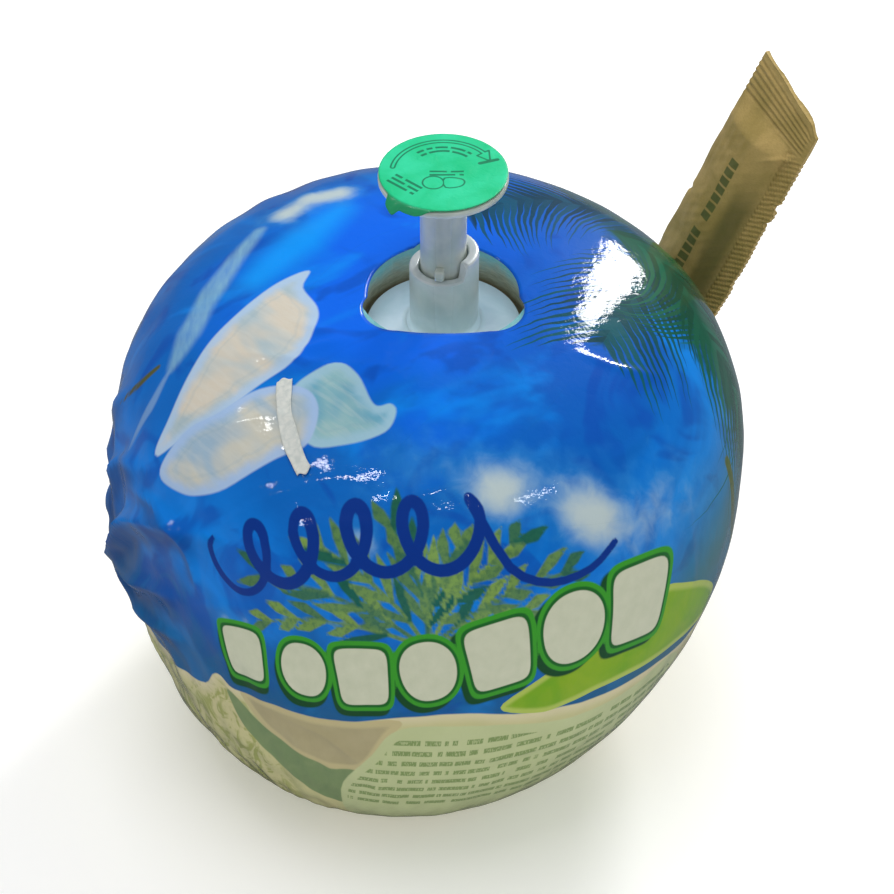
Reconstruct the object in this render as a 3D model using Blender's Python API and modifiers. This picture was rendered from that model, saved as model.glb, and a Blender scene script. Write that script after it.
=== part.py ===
"""Young coconut in shrink film, with a twist opener in its top and a straw in a paper sachet.

The coconut stands on a small flat base. A round well is drilled in its crown, and a flanged
socket sits on the well's floor. A hollow plunger with a disc head stands in the socket and
turns clockwise, seen from above, until its lug meets the socket's raised stop. Film covers
the whole fruit but for a rounded three-sided window over the well, and it also holds the
lower part of the sachet against the husk.

Metres, +Z up. The origin is the middle of the flat base, on the surface it stands on.
"""

import math

import bmesh
import bpy
from mathutils import Matrix, Vector

MM = 0.001
NAME = "young_coconut"

# The wrapped fruit.
HEIGHT = 112 * MM
BELLY_RADIUS = 62.5 * MM
BELLY_HEIGHT = 63 * MM
BASE_RADIUS = 34 * MM
CROWN_FULLNESS = 3.2
FLANK_FULLNESS = 1.55
LEAN = 6.6 * MM
BOW = 3.4 * MM
RIDGE = 0.6 * MM
RIDGES = 3
RIDGE_TURN = math.radians(80)
FILM = 0.6 * MM
GAP = 0.35 * MM
BODY_STEPS = 60
CROWN_STEPS = 9
FLANK_STEPS = 10
CROWN_SEARCH = 6

# The film's tent, drawn tight from the fruit's side over the tucked part of the sachet.
TENT_REACH = math.radians(66)
TENT_TURNS = 12
TENT_LEVELS = 7
TENT_ROOT = 1 * MM

# The well and the window in the film above it.
OPENER_X = 10 * MM
OPENER_Y = 0.0
WELL_RADIUS = 16.2 * MM
WELL_DEPTH = 12 * MM
WINDOW_WIDTH = 30 * MM
WINDOW_CORNER = 6.5 * MM
WINDOW_SHIFT = 2.6 * MM
CORNER_STEPS = 5

# The opener's socket.
FLANGE_RADIUS = 14.8 * MM
FLANGE_THICKNESS = 1.5 * MM
FLANGE_RISE = 0.8 * MM
COLLAR_RADIUS = 6.4 * MM
COLLAR_HEIGHT = 15.8 * MM
STOP_RISE = 3.4 * MM
STOP_START = math.radians(-55)
STOP_SWEEP = math.radians(165)
RUNNING_FIT = 0.4 * MM
EASED_EDGE = 0.4 * MM
CUT_OVER = 2 * MM

# The opener's plunger and its label.
STEM_RADIUS = 4.3 * MM
BORE_RADIUS = 3.4 * MM
DISC_RADIUS = 11.8 * MM
DISC_THICKNESS = 1.4 * MM
DISC_HEIGHT = 24.8 * MM
DISC_EDGE = 0.35 * MM
DISC_FILLET = 0.8 * MM
LUG_WIDTH = 1.8 * MM
LUG_REACH = 1.6 * MM
LUG_HEIGHT = 2.2 * MM
LUG_ANGLE = math.radians(-98)
LABEL_RADIUS = 11.2 * MM
LABEL_THICKNESS = 0.35 * MM
TAB_LENGTH = 2.6 * MM
TAB_WIDTH = 3.4 * MM
TAB_ANGLE = math.radians(224)
TAB_ROOT = 2 * MM
TAB_INSET = 0.08 * MM
TURN_STEPS = 48

# The paper sachet and the straw in it.
SACHET_LENGTH = 126 * MM
SACHET_WIDTH = 20 * MM
SACHET_TUCK = 46 * MM
SACHET_AZIMUTH = math.radians(41.3)
SACHET_HEIGHT = 52 * MM
SACHET_ROLL = math.radians(12.3)
SACHET_SHIFT = 2.5 * MM
PAPER = 0.3 * MM
SEAM_SLIT = 0.4 * MM
CRIMP = 8 * MM
SEAL_FADE = 5 * MM
SIDE_SEAL = 4 * MM
SACHET_COLUMNS = 14
BULGE_SLACK = 1.12
BULGE_WIDTH = 1.25
BULGE_FULLNESS = 0.75
FADE_STEPS = 4
POCKET_LENGTH = 50 * MM
STRAW_RADIUS = 2.9 * MM
STRAW_WALL = 0.35 * MM
STRAW_STEPS = 24
STRAW_POINT = math.radians(45)

# The bit of tape on the film.
TAPE_WIDTH = 3.2 * MM
TAPE_LENGTH = 19 * MM
TAPE_THICKNESS = 0.3 * MM
TAPE_X = -17.6 * MM
TAPE_Y = -34.5 * MM
TAPE_HEADING = math.radians(-77)
TAPE_BEND = math.radians(16)
TAPE_ROWS = 8

# Derived places.
WELL_FLOOR = HEIGHT - WELL_DEPTH
SOCKET_BOTTOM = WELL_FLOOR + GAP
COLLAR_BORE = STEM_RADIUS + RUNNING_FIT
RIM = SOCKET_BOTTOM + COLLAR_HEIGHT
DISC_TOP = HEIGHT + DISC_HEIGHT
STEM_BOTTOM = SOCKET_BOTTOM + GAP
STRAW_ROOM = STRAW_RADIUS + GAP
STRAW_LENGTH = SACHET_LENGTH - 2 * (CRIMP + SEAL_FADE)
STRAW_OFFSET = -SIDE_SEAL / 2


def clear_scene():
    for thing in list(bpy.data.objects):
        bpy.data.objects.remove(thing, do_unlink=True)


def make_collection(name):
    collection = bpy.data.collections.new(name)
    bpy.context.scene.collection.children.link(collection)
    return collection


def make_material(name, colour, roughness, metallic=0.0):
    material = bpy.data.materials.new(name)
    material.use_nodes = True
    shader = material.node_tree.nodes["Principled BSDF"]
    shader.inputs["Base Color"].default_value = (*colour, 1.0)
    shader.inputs["Roughness"].default_value = roughness
    shader.inputs["Metallic"].default_value = metallic
    return material


def add_object(name, mesh, collection):
    thing = bpy.data.objects.new(name, mesh)
    collection.objects.link(thing)
    return thing


def hide_cutter(thing):
    thing.hide_render = True
    thing.display_type = "WIRE"


def smooth(thing, angle=40):
    thing.data.shade_smooth()
    thing.data.set_sharp_from_angle(angle=math.radians(angle))


def boolean(target, cutter, operation="DIFFERENCE"):
    cut = target.modifiers.new(cutter.name, "BOOLEAN")
    cut.operation = operation
    cut.object = cutter
    cut.solver = "EXACT"
    hide_cutter(cutter)


def baked_mesh(thing):
    """The evaluated mesh of an object, welded."""
    bpy.context.view_layer.update()
    evaluated = thing.evaluated_get(bpy.context.evaluated_depsgraph_get())
    mesh = bpy.data.meshes.new_from_object(evaluated)
    work = bmesh.new()
    work.from_mesh(mesh)
    bmesh.ops.remove_doubles(work, verts=work.verts, dist=0.00001)
    work.to_mesh(mesh)
    work.free()
    return mesh


def turned(name, profile, steps, collection):
    """Turn a profile of (radius, height) points, which runs down its outer side."""
    mesh = bpy.data.meshes.new(name)
    edges = [(i, i + 1) for i in range(len(profile) - 1)]
    mesh.from_pydata([(r, 0, z) for r, z in profile], edges, [])
    thing = add_object(name, mesh, collection)
    screw = thing.modifiers.new("Turn", "SCREW")
    screw.steps = steps
    screw.render_steps = steps
    screw.use_merge_vertices = True
    screw.merge_threshold = 0.00001
    return thing


def closed(profile):
    return [*profile, profile[0]]


# --- The fruit's form ---------------------------------------------------------------------

def body_profile(inset):
    """The fruit's half outline, from its crown down its side to its base, pulled in by inset."""
    crown = HEIGHT - BELLY_HEIGHT - inset
    flank = BELLY_HEIGHT - inset
    belly = BELLY_RADIUS - inset
    base = BASE_RADIUS - inset
    points = []
    for i in range(CROWN_STEPS):
        angle = math.pi / 2 * (1 - i / CROWN_STEPS)
        radius = belly * math.cos(angle) ** (2 / CROWN_FULLNESS) if i else 0.0
        points.append((radius, BELLY_HEIGHT + crown * math.sin(angle) ** (2 / CROWN_FULLNESS)))
    for i in range(FLANK_STEPS + 1):
        share = math.sin(math.pi / 2 * i / FLANK_STEPS)
        radius = base + (belly - base) * math.sqrt(1 - share ** FLANK_FULLNESS)
        points.append((radius, BELLY_HEIGHT - flank * share))
    points.append((0.0, inset))
    return points


def grown(point):
    """Where a point of the turned form lies once the fruit leans, bows and shows its ridges."""
    rise = point.z / HEIGHT
    swell = math.sin(math.pi * min(max(rise, 0.0), 1.0))
    radius = math.hypot(point.x, point.y)
    turn = math.atan2(point.y, point.x) - RIDGE_TURN
    scale = 1 + RIDGE * swell * math.cos(RIDGES * turn) / BELLY_RADIUS if radius else 1
    return Vector((point.x * scale + LEAN * rise + BOW * swell, point.y * scale, point.z))


def fruit_solid(name, inset, collection):
    """The whole fruit's solid, pulled in by inset, with no well."""
    rough = turned(name + "_turned", body_profile(inset), BODY_STEPS, collection)
    mesh = baked_mesh(rough)
    bpy.data.objects.remove(rough, do_unlink=True)
    for vertex in mesh.vertices:
        vertex.co = grown(vertex.co)
    return add_object(name, mesh, collection)


def body_radius(height, inset):
    """Radius of the turned form at a height."""
    if height > BELLY_HEIGHT:
        share = (height - BELLY_HEIGHT) / (HEIGHT - BELLY_HEIGHT - inset)
        return (BELLY_RADIUS - inset) * (1 - share ** CROWN_FULLNESS) ** (1 / CROWN_FULLNESS)
    share = (BELLY_HEIGHT - height) / (BELLY_HEIGHT - inset)
    spread = BELLY_RADIUS - BASE_RADIUS
    return BASE_RADIUS - inset + spread * math.sqrt(1 - share ** FLANK_FULLNESS)


def crown_place(x, y):
    """Azimuth and height of the skin that lies over a place on the crown."""
    height = HEIGHT
    for _ in range(CROWN_SEARCH):
        rise = height / HEIGHT
        shift = LEAN * rise + BOW * math.sin(math.pi * rise)
        share = min(math.hypot(x - shift, y) / BELLY_RADIUS, 1.0)
        crown = (1 - share ** CROWN_FULLNESS) ** (1 / CROWN_FULLNESS)
        height = BELLY_HEIGHT + (HEIGHT - BELLY_HEIGHT) * crown
    return math.atan2(y, x - shift), height


def skin_point(azimuth, height, inset=0.0):
    radius = body_radius(height, inset)
    return grown(Vector((radius * math.cos(azimuth), radius * math.sin(azimuth), height)))


def skin_frame(azimuth, height):
    """A point of the skin, with the outward normal, the way up and the way sideways there."""
    step = 0.5 * MM
    turn = step / BELLY_RADIUS
    along = skin_point(azimuth, height + step) - skin_point(azimuth, height - step)
    across = skin_point(azimuth + turn, height) - skin_point(azimuth - turn, height)
    normal = across.cross(along).normalized()
    up = along.normalized()
    return skin_point(azimuth, height), normal, up, normal.cross(up)


# --- Coconut and film ---------------------------------------------------------------------

def opener_place():
    return Vector((OPENER_X, OPENER_Y, 0))


def make_coconut(parts, cutters):
    coconut = fruit_solid("coconut", FILM + GAP, parts)
    top = HEIGHT + WELL_DEPTH
    bored = [(0, top), (WELL_RADIUS, top), (WELL_RADIUS, WELL_FLOOR), (0, WELL_FLOOR)]
    well = turned("cut_well", bored, TURN_STEPS, cutters)
    well.location = opener_place()
    boolean(coconut, well)
    coconut.data.materials.append(make_material("husk", (0.62, 0.50, 0.33), 0.8))
    return coconut


def window_outline():
    """A triangle with rounded corners and one flat side towards -Y."""
    reach = WINDOW_WIDTH / 2 - WINDOW_CORNER
    points = []
    for corner in range(3):
        middle = math.radians(90 + 120 * corner)
        centre = Vector((math.cos(middle), math.sin(middle))) * reach / math.cos(math.radians(30))
        for i in range(CORNER_STEPS + 1):
            angle = middle + math.radians(120) * (i / CORNER_STEPS - 0.5)
            points.append(centre + WINDOW_CORNER * Vector((math.cos(angle), math.sin(angle))))
    return points


def window_prism(cutters):
    outline = bpy.data.curves.new("cut_window_outline", "CURVE")
    outline.dimensions = "2D"
    outline.fill_mode = "BOTH"
    outline.extrude = WELL_DEPTH
    spline = outline.splines.new("POLY")
    points = window_outline()
    spline.points.add(len(points) - 1)
    for target, point in zip(spline.points, points):
        target.co = (point.x, point.y, 0, 1)
    spline.use_cyclic_u = True
    flat = add_object("cut_window_flat", outline, cutters)
    prism = add_object("cut_window", baked_mesh(flat), cutters)
    bpy.data.objects.remove(flat, do_unlink=True)
    prism.location = opener_place() + Vector((0, -WINDOW_SHIFT, HEIGHT))
    return prism


def tent_solid(name, pocket, inset, collection):
    """The convex form round a pocket and the stretch of the fruit's side behind it."""
    hide_cutter(pocket)
    work = bmesh.new()
    work.from_mesh(pocket.data)
    work.transform(pocket.matrix_world)
    levels = [vertex.co.z for vertex in work.verts]
    low = max(min(levels), inset + TENT_ROOT)
    high = max(levels)
    for level in range(TENT_LEVELS + 1):
        height = low + (high - low) * level / TENT_LEVELS
        for turn in range(TENT_TURNS + 1):
            azimuth = SACHET_AZIMUTH + TENT_REACH * (2 * turn / TENT_TURNS - 1)
            work.verts.new(skin_point(azimuth, height, inset + TENT_ROOT))
    hull = bmesh.ops.convex_hull(work, input=work.verts)
    kept = set(hull["geom"])
    inner_faces = [face for face in work.faces if face not in kept]
    bmesh.ops.delete(work, geom=inner_faces, context="FACES")
    loose = [vertex for vertex in work.verts if not vertex.link_faces]
    bmesh.ops.delete(work, geom=loose, context="VERTS")
    bmesh.ops.recalc_face_normals(work, faces=work.faces)
    mesh = bpy.data.meshes.new(name)
    work.to_mesh(mesh)
    work.free()
    return add_object(name, mesh, collection)


def make_film(parts, cutters):
    """Film in one closed body: the fruit's skin and the tent, one wall thick all over."""
    film = fruit_solid("film_wrap", 0.0, parts)
    wall = FILM + GAP
    outer = sachet_slab("pocket_outer", wall, wall, POCKET_LENGTH + wall, cutters)
    inner = sachet_slab("pocket_inner", GAP, GAP, POCKET_LENGTH + GAP - FILM, cutters)
    boolean(film, tent_solid("add_tent", outer, 0.0, cutters), "UNION")
    boolean(film, fruit_solid("cut_fruit_room", FILM, cutters))
    boolean(film, tent_solid("cut_tent_room", inner, FILM, cutters))
    boolean(film, sachet_slab("cut_sachet_room", GAP, GAP, SACHET_LENGTH, cutters))
    boolean(film, window_prism(cutters))
    film.data.materials.append(make_material("printed_film", (0.02, 0.22, 0.75), 0.12))
    return film


# --- Opener -------------------------------------------------------------------------------

def make_socket(parts, cutters):
    """Flange and collar in one moulding: the collar's rim is low where the lug runs."""
    bottom = SOCKET_BOTTOM
    edge = bottom + FLANGE_THICKNESS
    crown = edge + FLANGE_RISE
    tall = RIM + STOP_RISE
    lip = EASED_EDGE
    profile = closed([
        (COLLAR_BORE, tall),
        (COLLAR_RADIUS - lip, tall),
        (COLLAR_RADIUS, tall - lip),
        (COLLAR_RADIUS, crown + 2 * lip),
        (COLLAR_RADIUS + 2 * lip, crown),
        ((COLLAR_RADIUS + FLANGE_RADIUS) / 2, edge + FLANGE_RISE / 2),
        (FLANGE_RADIUS - lip, edge),
        (FLANGE_RADIUS, edge - lip),
        (FLANGE_RADIUS, bottom),
        (COLLAR_BORE, bottom),
    ])
    socket = turned("opener_socket", profile, TURN_STEPS, parts)
    socket.location = opener_place()
    boolean(socket, rim_cutter(cutters))
    socket.data.materials.append(make_material("white_plastic", (0.86, 0.88, 0.86), 0.35))
    return socket


def rim_cutter(cutters):
    """The sector above the low rim: all of the turn that the raised stop leaves free."""
    outer = COLLAR_RADIUS + CUT_OVER
    inner = COLLAR_BORE - CUT_OVER
    top = RIM + STOP_RISE + CUT_OVER
    profile = closed([(outer, top), (outer, RIM), (inner, RIM), (inner, top)])
    mesh = bpy.data.meshes.new("cut_low_rim")
    edges = [(i, i + 1) for i in range(len(profile) - 1)]
    mesh.from_pydata([(r, 0, z) for r, z in profile], edges, [])
    mesh.transform(Matrix.Rotation(STOP_START + STOP_SWEEP, 4, "Z"))
    cutter = add_object("cut_low_rim", mesh, cutters)
    screw = cutter.modifiers.new("Turn", "SCREW")
    screw.angle = 2 * math.pi - STOP_SWEEP
    screw.steps = TURN_STEPS // 2
    screw.render_steps = TURN_STEPS // 2
    screw.use_merge_vertices = True
    screw.merge_threshold = 0.00001
    swept = baked_mesh(cutter)
    bpy.data.objects.remove(cutter, do_unlink=True)
    close_ends(swept)
    whole = add_object("cut_low_rim", swept, cutters)
    whole.location = opener_place()
    return whole


def close_ends(mesh):
    """Cap the two open ends of a part-turned profile, all faces outwards."""
    work = bmesh.new()
    work.from_mesh(mesh)
    rim = [edge for edge in work.edges if edge.is_boundary]
    bmesh.ops.holes_fill(work, edges=rim, sides=0)
    bmesh.ops.recalc_face_normals(work, faces=work.faces)
    work.to_mesh(mesh)
    work.free()


def make_plunger(parts, cutters):
    """Hollow stem with its disc head, and the lug that runs on the socket's rim."""
    under = DISC_TOP - DISC_THICKNESS
    profile = closed([
        (BORE_RADIUS, DISC_TOP),
        (DISC_RADIUS - DISC_EDGE, DISC_TOP),
        (DISC_RADIUS, DISC_TOP - DISC_EDGE),
        (DISC_RADIUS, under + DISC_EDGE),
        (DISC_RADIUS - DISC_EDGE, under),
        (STEM_RADIUS + DISC_FILLET, under),
        (STEM_RADIUS, under - DISC_FILLET),
        (STEM_RADIUS, STEM_BOTTOM),
        (BORE_RADIUS, STEM_BOTTOM),
    ])
    plunger = turned("opener_plunger", profile, TURN_STEPS, parts)
    plunger.location = opener_place()
    boolean(plunger, make_lug(cutters), "UNION")
    plunger.data.materials.append(make_material("clear_plastic", (0.80, 0.84, 0.82), 0.3))
    return plunger


def make_lug(cutters):
    """A block with rounded upright edges, rooted in the stem's wall."""
    root = (STEM_RADIUS - BORE_RADIUS) / 2
    length = LUG_REACH + root
    work = bmesh.new()
    bmesh.ops.create_cube(work, size=1.0)
    bmesh.ops.scale(work, vec=(length, LUG_WIDTH, LUG_HEIGHT), verts=work.verts)
    upright = [e for e in work.edges if abs(e.verts[0].co.z - e.verts[1].co.z) > LUG_HEIGHT / 2]
    outer = [e for e in upright if e.verts[0].co.x > 0]
    bmesh.ops.bevel(work, geom=outer, offset=LUG_WIDTH / 4, segments=2, affect="EDGES")
    middle = (STEM_RADIUS - root + length / 2, 0, RIM + GAP + LUG_HEIGHT / 2)
    bmesh.ops.translate(work, vec=middle, verts=work.verts)
    bmesh.ops.rotate(work, matrix=Matrix.Rotation(LUG_ANGLE, 3, "Z"), verts=work.verts)
    mesh = bpy.data.meshes.new("add_lug")
    work.to_mesh(mesh)
    work.free()
    lug = add_object("add_lug", mesh, cutters)
    lug.location = opener_place()
    return lug


def make_sticker(parts, cutters):
    """Round label on the disc head, with a pull tab that stands past the rim."""
    bottom = DISC_TOP + GAP
    top = bottom + LABEL_THICKNESS
    profile = [(0, top), (LABEL_RADIUS, top), (LABEL_RADIUS, bottom), (0, bottom)]
    sticker = turned("opener_sticker", profile, TURN_STEPS, parts)
    sticker.location = opener_place()
    work = bmesh.new()
    bmesh.ops.create_cube(work, size=1.0)
    length = TAB_LENGTH + DISC_RADIUS - LABEL_RADIUS + TAB_ROOT
    size = (length, TAB_WIDTH, LABEL_THICKNESS - 2 * TAB_INSET)
    bmesh.ops.scale(work, vec=size, verts=work.verts)
    middle = (LABEL_RADIUS - TAB_ROOT + length / 2, 0, (bottom + top) / 2)
    bmesh.ops.translate(work, vec=middle, verts=work.verts)
    bmesh.ops.rotate(work, matrix=Matrix.Rotation(TAB_ANGLE, 3, "Z"), verts=work.verts)
    mesh = bpy.data.meshes.new("add_tab")
    work.to_mesh(mesh)
    work.free()
    tab = add_object("add_tab", mesh, cutters)
    tab.location = opener_place()
    boolean(sticker, tab, "UNION")
    sticker.data.materials.append(make_material("green_label", (0.05, 0.68, 0.26), 0.35))
    return sticker


# --- Sachet and straw ---------------------------------------------------------------------

def sachet_matrix():
    """Sachet's frame: X across it, Y away from the fruit, Z along it, origin where it touches."""
    point, normal, up, side = skin_frame(SACHET_AZIMUTH, SACHET_HEIGHT)
    along = up * math.cos(SACHET_ROLL) + side * math.sin(SACHET_ROLL)
    across = normal.cross(along)
    out = point + normal * sachet_half() - across * SACHET_SHIFT
    columns = Matrix((across, normal, along)).transposed().to_4x4()
    return Matrix.Translation(out) @ columns


def sachet_half():
    """Half the sachet's thickness over the straw."""
    return STRAW_ROOM + PAPER


def bulge(x, z):
    """How far the straw lifts one layer of paper at a place on the sachet."""
    half = SACHET_WIDTH / 2 - SIDE_SEAL / 2
    across = min(abs(x - STRAW_OFFSET) / half, 1.0)
    end = min(z + SACHET_TUCK, SACHET_LENGTH - SACHET_TUCK - z)
    fade = min(max((end - CRIMP) / SEAL_FADE, 0.0), 1.0)
    crest = STRAW_ROOM - SEAM_SLIT / 2
    lift = 0.0
    if across < 1:
        lift = math.cos(math.pi / 2 * across ** BULGE_WIDTH) ** BULGE_FULLNESS
    return BULGE_SLACK * crest * lift * fade * fade * (3 - 2 * fade)


def sachet_stations(low, high):
    """Heights along the sachet where its form changes, kept to the stretch from low to high."""
    bottom = -SACHET_TUCK
    top = SACHET_LENGTH - SACHET_TUCK
    fades = [CRIMP + SEAL_FADE * step / FADE_STEPS for step in range(FADE_STEPS + 1)]
    inner = [bottom + fade for fade in fades] + [top - fade for fade in reversed(fades)]
    return [low, *(place for place in inner if low < place < high), high]


def sachet_slab(name, margin, end_margin, length, collection, seal=0.0):
    """A flat slab that swells over the straw, grown by margin and less a seal down one side."""
    width = SACHET_WIDTH + 2 * margin - seal
    thickness = SEAM_SLIT + 2 * PAPER + 2 * margin
    low = -SACHET_TUCK - end_margin
    stations = sachet_stations(low, low + length)
    rows = len(stations) - 1
    work = bmesh.new()
    bmesh.ops.create_grid(work, x_segments=SACHET_COLUMNS, y_segments=rows, size=0.5)
    for vertex in work.verts:
        x, row = vertex.co.x * width - seal / 2, round((vertex.co.y + 0.5) * rows)
        vertex.co = (x, 0, stations[row])
    sheet = bmesh.ops.extrude_face_region(work, geom=work.faces[:])
    raised = {item for item in sheet["geom"] if isinstance(item, bmesh.types.BMVert)}
    for vertex in work.verts:
        lift = thickness / 2 + bulge(vertex.co.x, vertex.co.z)
        vertex.co.y = lift if vertex in raised else -lift
    bmesh.ops.recalc_face_normals(work, faces=work.faces)
    mesh = bpy.data.meshes.new(name)
    work.to_mesh(mesh)
    work.free()
    slab = add_object(name, mesh, collection)
    slab.matrix_world = sachet_matrix()
    return slab


def make_sachet(parts, cutters):
    """Folded paper with a straw-shaped hollow, which is open through a slit at its low end."""
    sachet = sachet_slab("straw_sachet", 0.0, 0.0, SACHET_LENGTH, parts)
    length = SACHET_LENGTH - CRIMP / 2
    boolean(sachet, sachet_slab("cut_sachet_hollow", -PAPER, PAPER, length, cutters, SIDE_SEAL))
    sachet.data.materials.append(make_material("kraft_paper", (0.55, 0.42, 0.22), 0.85))
    return sachet


def make_straw(parts, cutters):
    """A plain tube with one end cut at a slant for piercing."""
    length = STRAW_LENGTH
    inner = STRAW_RADIUS - STRAW_WALL
    profile = closed([
        (inner, length / 2), (STRAW_RADIUS, length / 2),
        (STRAW_RADIUS, -length / 2), (inner, -length / 2),
    ])
    straw = turned("straw", profile, STRAW_STEPS, parts)
    middle = Vector((STRAW_OFFSET, 0, SACHET_LENGTH / 2 - SACHET_TUCK))
    straw.matrix_world = sachet_matrix() @ Matrix.Translation(middle)
    work = bmesh.new()
    block = 6 * STRAW_RADIUS
    bmesh.ops.create_cube(work, size=block)
    low = -length / 2 + STRAW_RADIUS * math.tan(STRAW_POINT)
    bmesh.ops.translate(work, vec=(0, 0, -block / 2), verts=work.verts)
    bmesh.ops.rotate(work, matrix=Matrix.Rotation(STRAW_POINT, 3, "Y"), verts=work.verts)
    bmesh.ops.translate(work, vec=(0, 0, low), verts=work.verts)
    mesh = bpy.data.meshes.new("cut_straw_point")
    work.to_mesh(mesh)
    work.free()
    slant = add_object("cut_straw_point", mesh, cutters)
    slant.matrix_world = straw.matrix_world
    boolean(straw, slant)
    straw.data.materials.append(make_material("straw_paper", (0.85, 0.84, 0.78), 0.7))
    return straw


# --- Tape ---------------------------------------------------------------------------------

def make_tape(parts):
    """A short strip that lies on the film, bent part way along."""
    work = bmesh.new()
    bmesh.ops.create_grid(work, x_segments=2, y_segments=TAPE_ROWS, size=0.5)
    for vertex in work.verts:
        along = vertex.co.y * TAPE_LENGTH
        aside = vertex.co.x * TAPE_WIDTH
        bend = TAPE_BEND * vertex.co.y
        flat = Matrix.Rotation(TAPE_HEADING + bend, 2) @ Vector((along, aside))
        azimuth, height = crown_place(TAPE_X + flat.x, TAPE_Y + flat.y)
        point, normal, _, _ = skin_frame(azimuth, height)
        vertex.co = point + normal * (GAP + TAPE_THICKNESS)
    bmesh.ops.recalc_face_normals(work, faces=work.faces)
    mesh = bpy.data.meshes.new("tape_strip")
    work.to_mesh(mesh)
    work.free()
    tape = add_object("tape_strip", mesh, parts)
    shell = tape.modifiers.new("Thickness", "SOLIDIFY")
    shell.thickness = TAPE_THICKNESS
    shell.offset = -1
    tape.data.materials.append(make_material("white_tape", (0.85, 0.85, 0.83), 0.6))
    return tape


def main():
    clear_scene()
    parts = make_collection(NAME)
    cutters = make_collection(NAME + "_cutters")
    make_coconut(parts, cutters)
    make_film(parts, cutters)
    make_socket(parts, cutters)
    make_plunger(parts, cutters)
    make_sticker(parts, cutters)
    make_sachet(parts, cutters)
    make_straw(parts, cutters)
    make_tape(parts)
    for thing in parts.objects:
        smooth(thing)
    bpy.context.view_layer.update()


main()
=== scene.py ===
"""Looks of a young coconut in glossy printed shrink film, with its twist opener and straw sachet.

The film, the opener, the label, the sachet and the tape are fine meshes that stand for the plain
CAD solids. The film's print is drawn in the film's own sheet coordinates: X and Y in millimetres,
laid out round the crown, so that a place's distance from the origin is its distance down the
fruit's side. Shapes of the print are signed distances kept on the mesh, which the film's material
turns into ink.
"""

import math

import bpy
import numpy as np
from mathutils import Matrix, Vector


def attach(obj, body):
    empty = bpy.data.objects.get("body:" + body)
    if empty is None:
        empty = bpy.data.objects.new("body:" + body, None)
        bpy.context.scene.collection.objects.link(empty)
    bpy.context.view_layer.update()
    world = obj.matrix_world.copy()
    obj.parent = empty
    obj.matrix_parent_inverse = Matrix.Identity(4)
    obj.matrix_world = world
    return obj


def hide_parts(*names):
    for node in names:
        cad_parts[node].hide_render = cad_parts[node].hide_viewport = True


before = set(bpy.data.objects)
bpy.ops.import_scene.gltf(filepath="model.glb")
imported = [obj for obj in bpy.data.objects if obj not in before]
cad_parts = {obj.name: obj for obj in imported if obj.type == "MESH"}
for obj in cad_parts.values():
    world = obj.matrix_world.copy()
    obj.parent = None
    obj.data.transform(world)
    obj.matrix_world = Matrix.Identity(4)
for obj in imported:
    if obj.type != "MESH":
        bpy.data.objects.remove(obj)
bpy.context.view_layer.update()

MM = 0.001
SEED = 7

# The wrapped fruit, in millimetres.
TOP = 112.0
BELLY = 62.5
BELLY_Z = 63.0
BASE = 34.0
CROWN_FULLNESS = 3.2
FLANK_FULLNESS = 1.55
LEAN = 6.6
BOW = 3.4
RIDGE = 0.6
RIDGES = 3
RIDGE_TURN = math.radians(80)

# The opener's well and the window in the film over it.
OPENER = Vector((10.0, 0.0))
WINDOW_SHIFT = 2.6
WINDOW_WIDTH = 30.0
WINDOW_CORNER = 6.5
WINDOW_BOW = 2.6
FRONT_BOW = 0.8

# The sachet, in its own frame: X across it, Y away from the fruit, Z along it.
SACHET_LENGTH = 126.0
SACHET_WIDTH = 20.0
SACHET_TUCK = 46.0
SACHET_AZIMUTH = math.radians(41.3)
SACHET_Z = 52.0
SACHET_ROLL = math.radians(12.3)
SACHET_SHIFT = 2.5
SACHET_HALF = 3.55
SACHET_TOP = SACHET_LENGTH - SACHET_TUCK
SACHET_SIDE = SACHET_WIDTH / 2
PAPER = 0.3
SEAM_SLIT = 0.4
STRAW_OFFSET = -2.0
STRAW_ROOM = 3.25
CRIMP = 8.0
SEAL_FADE = 5.0
SIDE_SEAL = 4.0
MOUTH = 4.0

# The film's mesh.
COLUMNS = 430
ROWS = 205
BASE_ROWS = 8
FRONT_BIAS = 0.45
# The window's edge turns down and out in two steps: the lip, then the hem under it.
LIP_DROP, LIP_OUT = 0.35, 0.12
HEM_DROP, HEM_OUT = 0.25, 0.5
# Room for the film over the tucked sachet.
TENT_ROOM = 0.95


# --- Small tools --------------------------------------------------------------------------

def smoothstep(low, high, value):
    share = np.clip((value - low) / (high - low), 0.0, 1.0)
    return share * share * (3 - 2 * share)


def new_mesh(name, points_mm, faces, smooth=True):
    mesh = bpy.data.meshes.new(name)
    mesh.from_pydata((np.asarray(points_mm) * MM).tolist(), [], faces)
    mesh.validate()
    if smooth:
        mesh.shade_smooth()
    thing = bpy.data.objects.new(name, mesh)
    bpy.context.scene.collection.objects.link(thing)
    return thing


def keep_values(thing, name, values):
    kind = "FLOAT_VECTOR" if np.ndim(values) == 2 else "FLOAT"
    field = "vector" if kind == "FLOAT_VECTOR" else "value"
    attribute = thing.data.attributes.new(name, kind, "POINT")
    attribute.data.foreach_set(field, np.asarray(values, np.float32).ravel())


def keep_sheet(thing, flat):
    """Keep where each point lies on the piece's own flat sheet."""
    keep_values(thing, "sheet", np.concatenate([flat, np.zeros((len(flat), 1))], 1))


def grid_faces(rows, columns, wrap=False):
    """Quads over rows of points, with each row's points side by side."""
    faces = []
    last = columns if wrap else columns - 1
    for row in range(rows - 1):
        for column in range(last):
            right = (column + 1) % columns
            a, b = row * columns, (row + 1) * columns
            faces.append((a + column, b + column, b + right, a + right))
    return faces


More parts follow.
